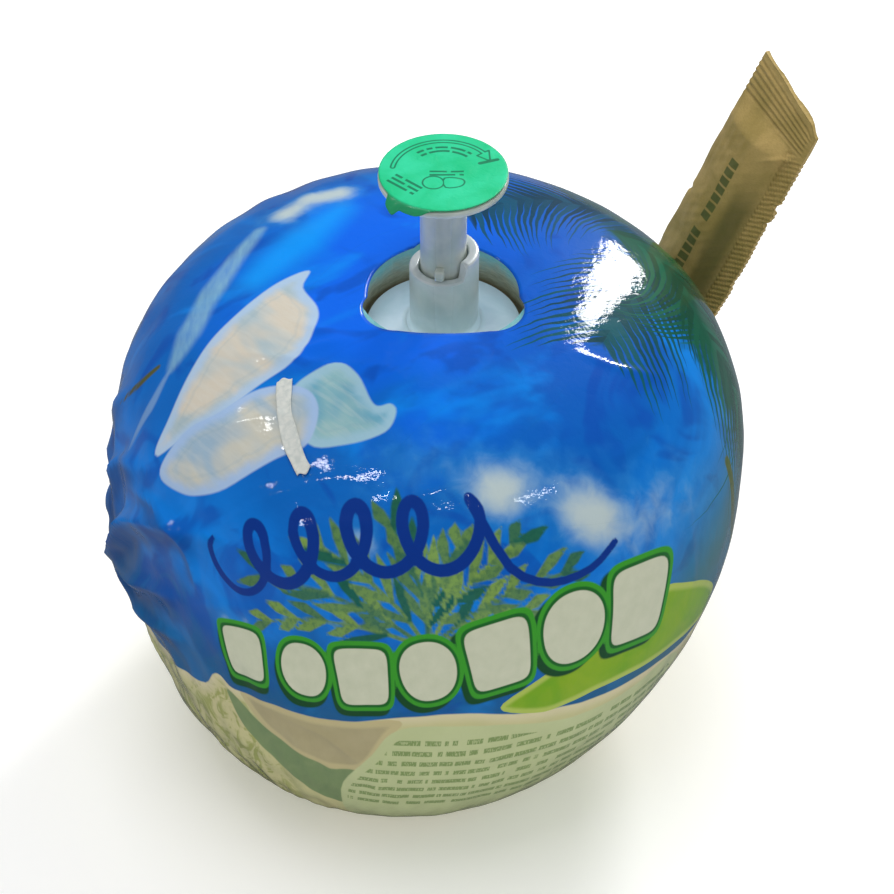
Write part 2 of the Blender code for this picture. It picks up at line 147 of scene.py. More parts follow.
def rounded(points, steps=5, cyclic=True):
    """A smooth line through a few points."""
    points = np.asarray(points, float)
    count = len(points)
    spans = count if cyclic else count - 1
    out = []
    for i in range(spans):
        p = [points[(i + k) % count] if cyclic else points[min(max(i + k, 0), count - 1)]
             for k in (-1, 0, 1, 2)]
        for step in range(steps):
            t = step / steps
            out.append(0.5 * (2 * p[1] + (p[2] - p[0]) * t
                              + (2 * p[0] - 5 * p[1] + 4 * p[2] - p[3]) * t * t
                              + (3 * p[1] - p[0] - 3 * p[2] + p[3]) * t ** 3))
    if not cyclic:
        out.append(points[-1])
    return np.array(out)


def segment_distance(places, start, end):
    """Distance to a straight stretch, and how far along it the nearest place is."""
    run = end - start
    share = np.clip((places - start) @ run / max(run @ run, 1e-9), 0.0, 1.0)
    away = places - start - share[:, None] * run
    return np.hypot(away[:, 0], away[:, 1]), share


def far(places):
    """A distance larger than any on the sheets, for each place."""
    return np.full(len(places), 1e9)


def toward(angle):
    return np.array([math.cos(angle), math.sin(angle)])


def inside(places, line):
    """Which places lie inside a closed line."""
    x, y = places[:, 0], places[:, 1]
    result = np.zeros(len(places), bool)
    for (x0, y0), (x1, y1) in zip(line, np.roll(line, -1, axis=0)):
        if y0 == y1:
            continue
        crosses = ((y0 > y) != (y1 > y)) & (x < (x1 - x0) * (y - y0) / (y1 - y0) + x0)
        result ^= crosses
    return result


def outline(places, line):
    """Signed distance to a closed line, negative inside it."""
    nearest = far(places)
    for start, end in zip(line, np.roll(line, -1, axis=0)):
        nearest = np.minimum(nearest, segment_distance(places, start, end)[0])
    return np.where(inside(places, line), -nearest, nearest)


def shape(places, points, steps=5):
    """Signed distance to the rounded closed outline through a few points."""
    return outline(places, rounded(points, steps))


def stroke(places, points, widths, steps=6, smooth=True):
    """Signed distance to a brush stroke whose half width runs through the widths given."""
    line = rounded(points, steps, cyclic=False) if smooth else np.asarray(points, float)
    stations = np.linspace(0, 1, len(widths))
    nearest = far(places)
    count = len(line) - 1
    for i in range(count):
        away, share = segment_distance(places, line[i], line[i + 1])
        half = np.interp((i + share) / count, stations, widths)
        nearest = np.minimum(nearest, away - half)
    return nearest


def blobs(places, spots):
    """Soft round patches: each spot is x, y, radius and strength."""
    total = np.zeros(len(places))
    for x, y, radius, strength in spots:
        away = ((places[:, 0] - x) ** 2 + (places[:, 1] - y) ** 2) / radius ** 2
        total += strength * np.exp(-away)
    return total


# --- The fruit's form ---------------------------------------------------------------------

def meridian():
    """Radius and height of the turned form, and distance along it from the crown."""
    turn = np.linspace(0, math.pi / 2, 500)
    sine, cosine = np.sin(turn), np.cos(turn)
    crown_r = BELLY * sine ** (2 / CROWN_FULLNESS)
    crown_z = BELLY_Z + (TOP - BELLY_Z) * np.clip(cosine, 0, 1) ** (2 / CROWN_FULLNESS)
    flank_r = BASE + (BELLY - BASE) * np.sqrt(np.clip(1 - sine ** FLANK_FULLNESS, 0, 1))
    flank_z = BELLY_Z * (1 - sine)
    radius = np.concatenate([crown_r, flank_r[1:], [0.0]])
    height = np.concatenate([crown_z, flank_z[1:], [0.0]])
    steps = np.hypot(np.diff(radius), np.diff(height))
    return np.concatenate([[0.0], np.cumsum(steps)]), radius, height


REACH, REACH_RADIUS, REACH_Z = meridian()
BASE_EDGE = REACH[-2]
BASE_MIDDLE = REACH[-1]


def shift_at(z):
    rise = z / TOP
    return LEAN * rise + BOW * np.sin(np.pi * np.clip(rise, 0, 1))


def grown_radius(radius, azimuth, z):
    swell = np.sin(np.pi * np.clip(z / TOP, 0, 1))
    return radius * (1 + RIDGE * swell * np.cos(RIDGES * (azimuth - RIDGE_TURN)) / BELLY)


def skin(azimuth, z):
    """A point of the fruit's skin."""
    flank = REACH_Z[::-1]
    radius = grown_radius(np.interp(z, flank, REACH_RADIUS[::-1]), azimuth, z)
    return Vector((radius * math.cos(azimuth) + shift_at(z), radius * math.sin(azimuth), z))


def skin_frame(azimuth, z):
    step = 0.5
    turn = step / BELLY
    along = skin(azimuth, z + step) - skin(azimuth, z - step)
    across = skin(azimuth + turn, z) - skin(azimuth - turn, z)
    normal = across.cross(along).normalized()
    up = along.normalized()
    return skin(azimuth, z), normal, up, normal.cross(up)


def sachet_frame():
    """Matrix from the sachet's own millimetres to the fruit's."""
    point, normal, up, side = skin_frame(SACHET_AZIMUTH, SACHET_Z)
    along = up * math.cos(SACHET_ROLL) + side * math.sin(SACHET_ROLL)
    across = normal.cross(along)
    out = point + normal * SACHET_HALF - across * SACHET_SHIFT
    return Matrix.Translation(out) @ Matrix((across, normal, along)).transposed().to_4x4()


SACHET = sachet_frame()


def bulge(x, z):
    """How far the straw lifts one layer of paper at a place on the sachet."""
    half = SACHET_SIDE - SIDE_SEAL / 2
    across = np.clip(np.abs(x - STRAW_OFFSET) / half, 0, 1)
    end = np.minimum(z + SACHET_TUCK, SACHET_TOP - z)
    fade = smoothstep(CRIMP, CRIMP + SEAL_FADE, end)
    crest = STRAW_ROOM - SEAM_SLIT / 2
    return crest * 1.12 * np.cos(np.pi / 2 * across ** 1.25) ** 0.75 * fade


# --- Film ---------------------------------------------------------------------------------

def window_line():
    """The window's outline on the crown: a triangle with rounded corners, flat side to -Y."""
    reach = WINDOW_WIDTH / 2 - WINDOW_CORNER
    out = reach / math.cos(math.radians(30))
    line = []
    for corner in range(3):
        middle = math.radians(90 + 120 * corner)
        centre = toward(middle) * out
        for angle in np.radians(np.linspace(-60, 60, 25)) + middle:
            line.append(centre + WINDOW_CORNER * toward(angle))
    return np.array(line) + np.array([OPENER.x, OPENER.y - WINDOW_SHIFT])


def window_reach(azimuth):
    """Distance from the crown's middle to the window's edge, in each direction."""
    corners = window_line()
    line = []
    for start, end in zip(corners, np.roll(corners, -1, axis=0)):
        side = np.array([end[1] - start[1], start[0] - end[0]])
        for share in np.linspace(0, 1, 12, endpoint=False):
            most = WINDOW_BOW if side[1] > 0 else FRONT_BOW
            bow = most * 4 * share * (1 - share) * min(np.hypot(*side) / 8, 1.0) ** 4
            line.append(start + (end - start) * share + bow * side / max(np.hypot(*side), 1e-9))
    line = np.array(line) - np.array([shift_at(TOP), 0.0])
    angle = np.unwrap(np.arctan2(line[:, 1], line[:, 0]))
    order = np.argsort(angle)
    reach = np.hypot(line[:, 0], line[:, 1])[order]
    return np.interp(azimuth, angle[order], reach, period=2 * math.pi)


def tent(radius, azimuth, z):
    """Radius of the film where it is drawn tight over the tucked sachet."""
    out = radius.copy()
    centre = shift_at(z)
    origin = np.array(SACHET.translation)
    axes = np.array(SACHET.to_3x3())
    for x in np.linspace(-SACHET_SIDE - TENT_ROOM, SACHET_SIDE + TENT_ROOM, 23):
        lift = SEAM_SLIT / 2 + PAPER + TENT_ROOM + bulge(np.array([x]), np.array([0.0]))[0]
        foot = origin + axes @ np.array([x, lift, 0.0])
        along = (z - foot[2]) / axes[2, 2]
        place = foot[None, :2] + along[:, None] * axes[:2, 2]
        away_x, away_y = place[:, 0] - centre, place[:, 1]
        distance = np.hypot(away_x, away_y)
        hold = smoothstep(-SACHET_TUCK - 12, -SACHET_TUCK + 1, along)
        hold = hold * (1 - smoothstep(MOUTH - 3, MOUTH + 9, along))
        distance = np.maximum(radius + (distance - radius) * hold, radius + 1e-6)
        apart = np.abs(np.angle(np.exp(1j * (azimuth - np.arctan2(away_y, away_x)))))
        spread = np.arccos(radius / distance)
        tight = radius / np.cos(np.clip(spread - apart, 0, 1.5))
        out = np.where(apart < spread, np.maximum(out, tight), out)
    return out


def film_places():
    """Sheet coordinates of the film's mesh, in rows from the window's edge to the base."""
    turn = np.linspace(0, 2 * math.pi, COLUMNS, endpoint=False)
    azimuth = -math.pi / 2 + turn - FRONT_BIAS * np.sin(turn)
    start = window_reach(azimuth)
    rows = [start + (BASE_EDGE - start) * share for share in np.linspace(0, 1, ROWS)]
    for share in np.linspace(0, 1, BASE_ROWS + 1)[1:]:
        rows.append(np.full(COLUMNS, BASE_EDGE + (BASE_MIDDLE - BASE_EDGE) * share * 0.98))
    reach = np.array(rows)
    return np.broadcast_to(azimuth, reach.shape), reach


def waves(x, y, size, amount, count, seed):
    """Smooth random hills of about a given size."""
    draw = np.random.default_rng(seed)
    total = np.zeros(np.shape(x))
    for _ in range(count):
        angle = draw.uniform(0, 2 * math.pi)
        rate = 2 * math.pi / (size * draw.uniform(0.7, 1.6))
        phase = draw.uniform(0, 2 * math.pi)
        total += np.sin(rate * (x * math.cos(angle) + y * math.sin(angle)) + phase)
    return amount * total / math.sqrt(count)


def fold(places, points, half, lift, lean=0.35):
    """A drawn fold in the film: steep on one side, easy on the other."""
    line = rounded(points, 6, cyclic=False)
    best = far(places)
    side = np.zeros(len(places))
    along = np.zeros(len(places))
    count = len(line) - 1
    for i in range(count):
        away, share = segment_distance(places, line[i], line[i + 1])
        run = line[i + 1] - line[i]
        cross = run[0] * (places[:, 1] - line[i][1]) - run[1] * (places[:, 0] - line[i][0])
        closer = away < best
        best = np.where(closer, away, best)
        side = np.where(closer, np.sign(cross), side)
        along = np.where(closer, (i + share) / count, along)
    width = half * np.where(side > 0, lean, 1.0)
    ends = np.sin(np.pi * np.clip(along, 0.02, 0.98)) ** 0.6
    crest = 0.5 * np.exp(-(best / width) ** 2) + 0.5 * np.exp(-best / width)
    return lift * ends * crest


# Folds of the gathered film on the left side, then fine creases of the tight film.
# Each is its line in sheet coordinates, its half width and its height.
GATHERS = [
    ([(-99, -27), (-86, -31), (-74, -35), (-61, -42), (-47, -50)], 4.4, 3.4),
    ([(-97, -30), (-90, -40), (-78, -50), (-66, -58)], 3.8, 2.2),
    ([(-98, -25), (-86, -20), (-72, -22), (-60, -31)], 4.2, 2.0),
    ([(-97, -32), (-94, -44), (-86, -56), (-76, -66)], 3.2, 1.6),
    ([(-97, -23), (-88, -12), (-74, -8), (-62, -12)], 4.2, 1.1),
    ([(-64, -34), (-56, -42), (-52, -50), (-55, -60)], 2.2, 1.3),
]
KNOT = (-97, -27)
CREASES = [
    ([(-50, -52), (-38, -50), (-26, -47), (-14, -46)], 1.6, 0.55),
    ([(-46, -47), (-34, -46), (-20, -43)], 1.3, 0.45),
    ([(-30, -22), (-22, -18), (-14, -16)], 1.5, 0.5),
    ([(-36, -16), (-28, -19), (-18, -22), (-8, -23)], 1.4, 0.45),
    ([(-40, -33), (-30, -32), (-22, -34)], 1.2, 0.35),
    ([(-24, -10), (-18, -14), (-12, -16), (-4, -17)], 1.5, 0.4),
    ([(-12, -52), (-2, -50), (8, -47)], 1.4, 0.35),
    ([(-34, -56), (-20, -54), (-6, -55)], 1.5, 0.4),
    ([(28, -18), (36, -20), (44, -19)], 1.2, 0.35),
    ([(44, -26), (40, -34), (34, -40)], 1.3, 0.3),
    ([(-60, -62), (-46, -66), (-30, -70)], 1.8, 0.5),
    ([(52, -40), (60, -48), (70, -54)], 1.5, 0.35),
    ([(-48, -96), (-34, -104), (-22, -116)], 1.6, 0.3),
    ([(10, -112), (30, -112), (52, -104)], 1.8, 0.25),
    ([(-20, 60), (0, 66), (24, 64)], 1.8, 0.5),
    ([(-60, 40), (-48, 54), (-34, 62)], 1.8, 0.5),
    ([(-80, 30), (-76, 52), (-60, 74)], 2.0, 0.6),
    ([(84, 10), (82, 34), (70, 56)], 1.8, 0.4),
    ([(-30, 96), (0, 102), (30, 98)], 2.2, 0.5),
]


def wrinkles(places):
    """How far the film stands off its tight form."""
    x, y = places[:, 0], places[:, 1]
    reach = np.hypot(x, y)
    left = smoothstep(10, -60, x)
    gathered = np.exp(-(((x + 86) / 26) ** 2 + ((y + 34) / 24) ** 2))
    height = waves(x, y, 26, 0.28, 9, SEED) * (0.35 + 0.65 * left)
    height += waves(x, y, 11, 0.13, 12, SEED + 1) * (0.3 + 0.7 * left)
    # The film is drawn together at a knot on the left, and pleats run out from it.
    knot_x, knot_y = x - KNOT[0], y - KNOT[1]
    away = np.hypot(knot_x, knot_y)
    angle = np.arctan2(knot_y, knot_x)
    pleat = np.abs((angle * 1.75 + 0.3 * np.sin(away / 7) + 0.5) % 1 - 0.5) * 2
    hold = smoothstep(2, 14, away) * (1 - smoothstep(20, 50, away))
    height += (1.1 * pleat - 0.4) * hold + 3.0 * np.exp(-away / 5.0)
    height += waves(x * 0.6, y, 10, 0.12, 10, SEED + 2) * gathered
    for line, half, lift in GATHERS:
        height = height + fold(places, line, half, lift)
    for line, half, lift in CREASES:
        height = height + fold(places, line, half, lift, lean=0.6)
    height = np.where(height < 0, -0.6 * (1 - np.exp(height / 0.6)), height)
    calm = smoothstep(18, 26, reach) * (1 - smoothstep(BASE_EDGE - 22, BASE_EDGE - 6, reach))
    return height * calm


def fold_shadows(places):
    """1 deep under the steep side of the gathered folds, falling off away from it."""
    shade = np.zeros(len(places))
    for line, half, lift in GATHERS:
        drop = fold(places, line, half, 1.0, lean=0.05) - fold(places, line, half * 0.4, 1.0)
        shade = np.maximum(shade, np.clip(4.0 * drop, 0, 1) * min(lift / 1.6, 1))
    return shade


def film_form():
    """Film points in rows, with their sheet coordinates."""
    azimuth, reach = film_places()
    shape_of_grid = reach.shape
    a, s = azimuth.ravel(), reach.ravel()
    sheet = np.stack([s * np.cos(a), s * np.sin(a)], 1)
    z = np.interp(s, REACH, REACH_Z)
    radius = grown_radius(np.interp(s, REACH, REACH_RADIUS), a, z)
    radius = tent(radius, a, z)
    points = np.stack([radius * np.cos(a) + shift_at(z), radius * np.sin(a), z], 1)
    grid = points.reshape(*shape_of_grid, 3)
    down = np.gradient(grid, axis=0)
    around = np.roll(grid, -1, axis=1) - np.roll(grid, 1, axis=1)
    normal = np.cross(down, around).reshape(-1, 3)
    normal /= np.maximum(np.linalg.norm(normal, axis=1), 1e-9)[:, None]
    points = points + normal * wrinkles(sheet)[:, None]
    points[:, 2] = np.maximum(points[:, 2], 0.0)
    return points, sheet, shape_of_grid


def in_sachet(points, margin):
    """Which points lie within the sachet's slab, where it leaves the film."""
    back = np.array(SACHET.inverted())
    local = points @ back[:3, :3].T + back[:3, 3]
    half = SEAM_SLIT / 2 + PAPER + margin + bulge(local[:, 0], local[:, 2])
    return ((np.abs(local[:, 0]) < SACHET_SIDE + margin) & (np.abs(local[:, 1]) < half)
            & (local[:, 2] > 0))


def build_film():
    points, sheet, (rows, columns) = film_form()
    lip_in = points[:columns].copy()
    lip_in[:, 2] -= LIP_DROP
    middle = np.array([shift_at(TOP), 0.0])
    outward = lip_in[:, :2] - middle
    outward /= np.linalg.norm(outward, axis=1)[:, None]
    lip_in[:, :2] += outward * LIP_OUT
    lip_deep = lip_in.copy()
    lip_deep[:, 2] -= HEM_DROP
    lip_deep[:, :2] += outward * HEM_OUT
    points = np.concatenate([lip_deep, lip_in, points, [[0.0, 0.0, 0.0]]])
    sheet = np.concatenate([sheet[:columns], sheet[:columns], sheet, [[BASE_MIDDLE, 0.0]]])
    faces = np.array(grid_faces(rows + 2, columns, wrap=True))
    centres = points[faces].mean(axis=1)
    faces = faces[~in_sachet(centres, 0.1)].tolist()
    last = (rows + 1) * columns
    tip = len(points) - 1
    faces += [(last + i, tip, last + (i + 1) % columns) for i in range(columns)]
    film = new_mesh("film", points, faces)
    return film, sheet


# --- Print on the film --------------------------------------------------------------------

# Closed shapes of the print, each the rounded outline through its places.
SHAPES = {
    "slice_big": [(-22, 4), (-23, -1), (-20, -7), (-20, -12), (-23, -20), (-30, -25), (-37, -29),
        (-45, -31), (-54, -32), (-49, -25), (-42, -14), (-35, -6), (-28, 1)],
    "slice_roll": [(-54, -36), (-51, -33), (-45, -30), (-38, -29), (-30, -26), (-22, -27),
        (-19, -32), (-21, -39), (-27, -41), (-38, -44), (-46, -43), (-51, -40)],
    "slice_fan": [(-24, -29), (-22, -25), (-16, -22), (-12, -25), (-9, -32), (-6, -32), (-5, -34),
        (-7, -38), (-14, -40), (-21, -39)],
    "lime": [(56, -59), (65, -55), (87, -46), (91, -51), (82, -63), (68, -75), (50, -87),
        (36, -95), (21, -95), (32, -84), (45, -70)],
    "sea_edge": [(-99, -30), (-105, -38), (-101, -55), (-80, -78), (-67, -79), (-62, -85),
        (-46, -93), (-30, -99), (-8, -99), (12, -97), (30, -96), (52, -89), (70, -77), (85, -64),
        (92, -50), (110, -20), (116, 20), (96, 70), (50, 104), (0, 116), (-50, 104), (-94, 68),
        (-112, 20), (-108, -14)],
    "shell": [(-60, -86), (-46, -93), (-30, -99), (-8, -100), (-12, -106), (-22, -117),
        (-36, -117), (-49, -109), (-58, -98)],
    "olive": [(-66, -84), (-59, -97), (-49, -108), (-36, -117), (-24, -119), (-30, -132),
        (-38, -136), (-52, -125), (-62, -110), (-68, -96)],
    "panel": [(-8, -103), (16, -101), (44, -97), (66, -85), (86, -66), (116, -66), (130, -90),
        (100, -125), (60, -148), (10, -156), (-30, -150), (-34, -128), (-18, -112)],
    "palm_shade": [(36, 26), (54, 32), (76, 26), (90, 8), (88, -14), (80, -22), (66, -18),
        (55, -12), (46, -4), (40, 8)],
}
# Brush strokes of the print: the line, then the half widths that it runs through.
STROKES = {
    "streak": ([(-33, 20), (-41, 3), (-45, -8), (-49, -15)], [1.5, 3.0, 3.0, 1.0]),
    "blade": ([(-49, -15), (-55, -21), (-64, -25)], [0.2, 1.2, 0.3]),
    "twig": ([(-52, -13), (-58, -14), (-65, -13)], [0.5, 0.7, 0.3]),
    "azure": ([(-17, 24), (-24, 14), (-32, 4)], [2.0, 4.0, 3.0]),
    "trunk": ([(65, -27), (78, -31), (94, -30)], [1.2, 1.5, 2.2]),
}
CLOUDS = [(-28, 25, 5, 1.1), (-23, 31, 4, 0.9), (-17, 31, 4.5, 1.0), (13, -49, 6, 1.0),
          (31, -51, 7, 1.0), (22, -45, 9, 0.4), (43, -52, 9, 0.5), (-13, -59, 5, 0.8),
          (58, -39, 10, 0.4), (3, -43, 8, 0.4), (-50, -68, 3, 0.7), (-44, -70, 2, 0.7),
          (-8, -46, 8, 0.3), (46, -42, 8, 0.4), (60, 60, 12, 0.7), (-10, 80, 14, 0.8),
          (-70, 50, 12, 0.6), (20, 96, 10, 0.6), (-92, 10, 8, 0.5)]
BLOCK_COUNT = 7
BLOCK_SHADOW = (-1.2, -1.7)
BLOCK_LINE = [(-50, -77), (-33, -84), (-17, -87), (0, -86), (17, -81), (34, -73), (50, -64)]


# Palm leaves behind the blocks: a rib's tip and how far its leaflets reach.
FAN_ROOT = np.array([0.0, -80.0])
FAN_RIBS = [((-37, -71), 8), ((-33, -62), 8), ((-20, -58), 8), ((-6, -56), 7), ((6, -59), 6),
            ((16, -58), 7), ((27, -62), 7), ((33, -68), 5)]


def fan_leaves(places):
    """Signed distance to the palm leaves, and a tone for the nearest leaflet."""
    draw = np.random.default_rng(SEED + 20)
    nearest = far(places)
    tone = np.zeros(len(places))

    def add(points, widths):
        nonlocal nearest, tone
        away = stroke(places, points, widths, smooth=False)
        closer = away < nearest
        nearest = np.where(closer, away, nearest)
        tone = np.where(closer, draw.uniform(0, 1), tone)

    for tip, length in FAN_RIBS:
        run = np.array(tip) - FAN_ROOT
        across = np.array([-run[1], run[0]]) / np.linalg.norm(run)
        bow = across * np.sign(run[0]) * 2.0
        stations = [FAN_ROOT + run * t + bow * math.sin(math.pi * t) for t in (0, 0.33, 0.66, 1)]
        add(stations, [0.5, 0.4, 0.3])
        for step in range(5):
            share = 0.25 + 0.75 * step / 4
            foot = FAN_ROOT + run * share + bow * math.sin(math.pi * share)
            for side in (-1, 1):
                way = run / np.linalg.norm(run) * draw.uniform(1.0, 1.6) + across * side * 0.7
                reach = length * draw.uniform(0.8, 1.3) * (1.15 - 0.5 * share)
                point = foot + way * reach * 0.9 + across * side * -0.8
                add([foot, foot + way * reach * 0.5, point], [0.5, 1.15, 0.1])
    return nearest, tone


FLOURISH_WIDTHS = [0.6, 1.0, 1.3, 1.0, 1.3, 1.1, 1.2, 0.7]


def flourish():
    """A plain decorative line of even loops with a long tail."""
    loops, start, end = 5, np.array([-44.0, -58.0]), np.array([8.0, -57.0])
    line = []
    for step in range(loops * 10 + 1):
        share = step / (loops * 10)
        turn = 2 * math.pi * loops * share
        middle = start + (end - start) * share
        line.append(middle + np.array([-4.2 * math.sin(turn), 6.2 * math.cos(turn)]))
    line += [np.array(p, float) for p in [(16, -62), (25, -64), (33, -60), (37, -54)]]
    return line


def print_values(film, sheet):
    keep_sheet(film, sheet)
    for name, points in SHAPES.items():
        keep_values(film, name, shape(sheet, points))
    for name, (points, widths) in STROKES.items():
        keep_values(film, name, stroke(sheet, points, widths))
    keep_values(film, "flourish", stroke(sheet, flourish(), FLOURISH_WIDTHS, 3))
    keep_values(film, "fold_shadow", fold_shadows(sheet))
    keep_values(film, "clouds", blobs(sheet, CLOUDS))
    leaves, tone = fan_leaves(sheet)
    keep_values(film, "leaves", leaves)
    keep_values(film, "leaf_tone", tone)
    blocks, shadows = far(sheet), far(sheet)
    line = rounded(BLOCK_LINE, 1, cyclic=False)
    for i in range(BLOCK_COUNT):
        ahead = line[min(i + 1, BLOCK_COUNT - 1)] - line[max(i - 1, 0)]
        along = ahead / np.linalg.norm(ahead)
        up = np.array([-along[1], along[0]])
        size = 6.0 + 2.2 * i / (BLOCK_COUNT - 1)
        power = 2.2 if i % 2 else 6.0

        def block(middle):
            away = sheet - middle
            side, rise = np.abs(away @ along) / size, np.abs(away @ up) / (size * 1.1)
            return ((side ** power + rise ** power) ** (1 / power) - 1) * size

        blocks = np.minimum(blocks, block(line[i]))
        shadows = np.minimum(shadows, block(line[i] + np.array(BLOCK_SHADOW)))
    keep_values(film, "blocks", blocks)
    keep_values(film, "block_shadow", shadows)


# --- Materials ----------------------------------------------------------------------------

# Places of the colour sockets on a Mix node, which has one set for each kind of data.
MIX_UNDER, MIX_OVER, MIX_RESULT = 6, 7, 2


def ink(red, green, blue):
    """A screen colour as the renderer's own."""
    return tuple(((c / 255 + 0.055) / 1.055) ** 2.4 if c > 10 else c / 255 / 12.92
                 for c in (red, green, blue)) + (1.0,)


class Field:
    """A node's output that takes part in plain arithmetic, one node to an operation."""

    def __init__(self, paint, socket):
        self.paint = paint
        self.socket = socket

    def __add__(self, other):
        return self.paint.math("ADD", self, other)

    def __radd__(self, other):
        return self.paint.math("ADD", other, self)

    def __sub__(self, other):
        return self.paint.math("SUBTRACT", self, other)

    def __rsub__(self, other):
        return self.paint.math("SUBTRACT", other, self)

    def __mul__(self, other):
        return self.paint.math("MULTIPLY", self, other)

    def __rmul__(self, other):
        return self.paint.math("MULTIPLY", other, self)

    def __truediv__(self, other):
        return self.paint.math("DIVIDE", self, other)

    def __pow__(self, other):
        return self.paint.math("POWER", self, other)

    def __abs__(self):
        return self.paint.math("ABSOLUTE", self)


class Paint:
    """Builds one material's nodes."""

    def __init__(self, name):
        self.material = bpy.data.materials.new(name)
        self.material.use_nodes = True
        self.tree = self.material.node_tree
        self.shader = self.tree.nodes["Principled BSDF"]

    def node(self, kind, **settings):
        made = self.tree.nodes.new(kind)
        for key, value in settings.items():
            setattr(made, key, value)
        return made

    def put(self, socket, value):
        if isinstance(value, Field):
            value = value.socket
        if isinstance(value, bpy.types.NodeSocket):
            self.tree.links.new(value, socket)
        else:
            socket.default_value = value

    def set(self, **values):
        for key, value in values.items():
            self.put(self.shader.inputs[key.replace("_", " ")], value)

    def math(self, operation, *values):
        made = self.node("ShaderNodeMath", operation=operation)
        for socket, value in zip(made.inputs, values + (0.0,) * (3 - len(values))):
            self.put(socket, value)
        return Field(self, made.outputs[0])

    def scaled(self, value, by, plus):
        return self.math("MULTIPLY_ADD", value, by, plus)

    def larger(self, a, b):
        return self.math("MAXIMUM", a, b)

    def root(self, value):
        return self.math("SQRT", value)

    def floor(self, value):
        return self.math("FLOOR", value)

    def fract(self, value):
        return self.math("FRACT", value)

    def sign(self, value):
        return self.math("SIGN", value)

    def value(self, name):
        return Field(self, self.node("ShaderNodeAttribute", attribute_name=name).outputs["Fac"])

    def place(self):
        return self.node("ShaderNodeTexCoord").outputs["Object"]

    def vector(self, name):
        return self.node("ShaderNodeAttribute", attribute_name=name).outputs["Vector"]

    def split(self, vector):
        made = self.node("ShaderNodeSeparateXYZ")
        self.put(made.inputs[0], vector)
        return [Field(self, part) for part in made.outputs]

    def join(self, x, y, z=0.0):
        made = self.node("ShaderNodeCombineXYZ")
        for socket, value in zip(made.inputs, (x, y, z)):
            self.put(socket, value)
        return made.outputs[0]

    def noise(self, where, scale, detail=2.0, distortion=0.0):
        made = self.node("ShaderNodeTexNoise")
        self.put(made.inputs["Vector"], where)
        self.put(made.inputs["Scale"], scale)
        self.put(made.inputs["Detail"], detail)
        self.put(made.inputs["Distortion"], distortion)
        return Field(self, made.outputs["Fac"])

    def chance(self, where):
        made = self.node("ShaderNodeTexWhiteNoise", noise_dimensions="2D")
        self.put(made.inputs["Vector"], where)
        return Field(self, made.outputs["Value"])

    def ramp(self, value, low, high, to_low=0.0, to_high=1.0):
        made = self.node("ShaderNodeMapRange", interpolation_type="SMOOTHSTEP")
        for socket, item in zip(made.inputs, (value, low, high, to_low, to_high)):
            self.put(socket, item)
        return Field(self, made.outputs[0])

    def mix(self, share, under, over):
        made = self.node("ShaderNodeMix", data_type="RGBA")
        self.put(made.inputs["Factor"], share)
        self.put(made.inputs[MIX_UNDER], under)
        self.put(made.inputs[MIX_OVER], over)
        return made.outputs[MIX_RESULT]

    def within(self, distance, soft=0.15, grow=0.0):
        """1 inside a shape whose signed distance is given."""
        return self.ramp(distance, grow + soft, grow - soft)

    def bump(self, height, strength, distance):
        made = self.node("ShaderNodeBump")
        self.put(made.inputs["Height"], height)
        self.put(made.inputs["Strength"], strength)
        self.put(made.inputs["Distance"], distance)
        self.put(self.shader.inputs["Normal"], made.outputs[0])
        return made

    def give(self, thing):
        thing.data.materials.clear()
        thing.data.materials.append(self.material)


def arc_through(first, middle, last):
    """Centre, radius, start angle and turning sense of the arc through three places."""
    (ax, ay), (bx, by), (cx, cy) = first, middle, last
    double = 2 * (ax * (by - cy) + bx * (cy - ay) + cx * (ay - by))
    a2, b2, c2 = ax * ax + ay * ay, bx * bx + by * by, cx * cx + cy * cy
    ux = (a2 * (by - cy) + b2 * (cy - ay) + c2 * (ay - by)) / double
    uy = (a2 * (cx - bx) + b2 * (ax - cx) + c2 * (bx - ax)) / double
    radius = math.hypot(ax - ux, ay - uy)
    start = math.atan2(ay - uy, ax - ux)
    turn = math.atan2(cy - uy, cx - ux) - start
    turn = (turn + math.pi) % (2 * math.pi) - math.pi
    return (ux, uy), radius, start, turn


def frond(paint, where, rib, length, pitch, sweep, droop):
    """A palm frond: how much of a place its leaflets cover, with its leaflets' own shade."""
    centre, radius, start, turn = arc_through(*rib)
    sense = 1 if turn > 0 else -1
    x, y, _ = paint.split(where)
    dx = x - centre[0]
    dy = y - centre[1]
    # Turned so that the branch cut lies opposite the rib.
    middle = start + turn / 2
    c, s = math.cos(middle), math.sin(middle)
    rx = dx * c + dy * s
    ry = dy * c - dx * s
    angle = paint.math("ARCTAN2", ry, rx)
    run = abs(turn) * radius
    along = paint.scaled(angle, sense * radius, run / 2)
    away = paint.root(dx * dx + dy * dy) - radius
    side = abs(away)
    bent = side * side * droop
    root = along - paint.scaled(side, sweep, bent)
    wobble = paint.scaled(paint.noise(where, 0.12), 3.0, -1.5)
    count = (root + wobble) / pitch
    index = paint.floor(count)
    luck = paint.chance(paint.join(index, paint.sign(away)))
    share = root / run
    profile = paint.root(paint.larger((1.04 - share) * (share + 0.12), 0.0))
    reach = profile * (2 * length) * paint.scaled(luck, 0.45, 0.7)
    taper = 1.0 - side / reach
    half = paint.larger(taper, 0.0) * 0.56
    across = abs(paint.fract(count) - 0.5)
    leaf = paint.ramp(across - half, 0.07, -0.07)
    ends = paint.ramp(share, -0.12, -0.02) * paint.ramp(share, 1.05, 1.0)
    leaf = leaf * ends
    leaf = leaf * paint.ramp(taper, 0.0, 0.06)
    inside_run = paint.ramp(along, -1.0, 0.0) * paint.ramp(along, run + 1.0, run)
    stem = paint.ramp(side, 0.75, 0.45) * inside_run
    return (paint.larger(leaf, stem), luck)


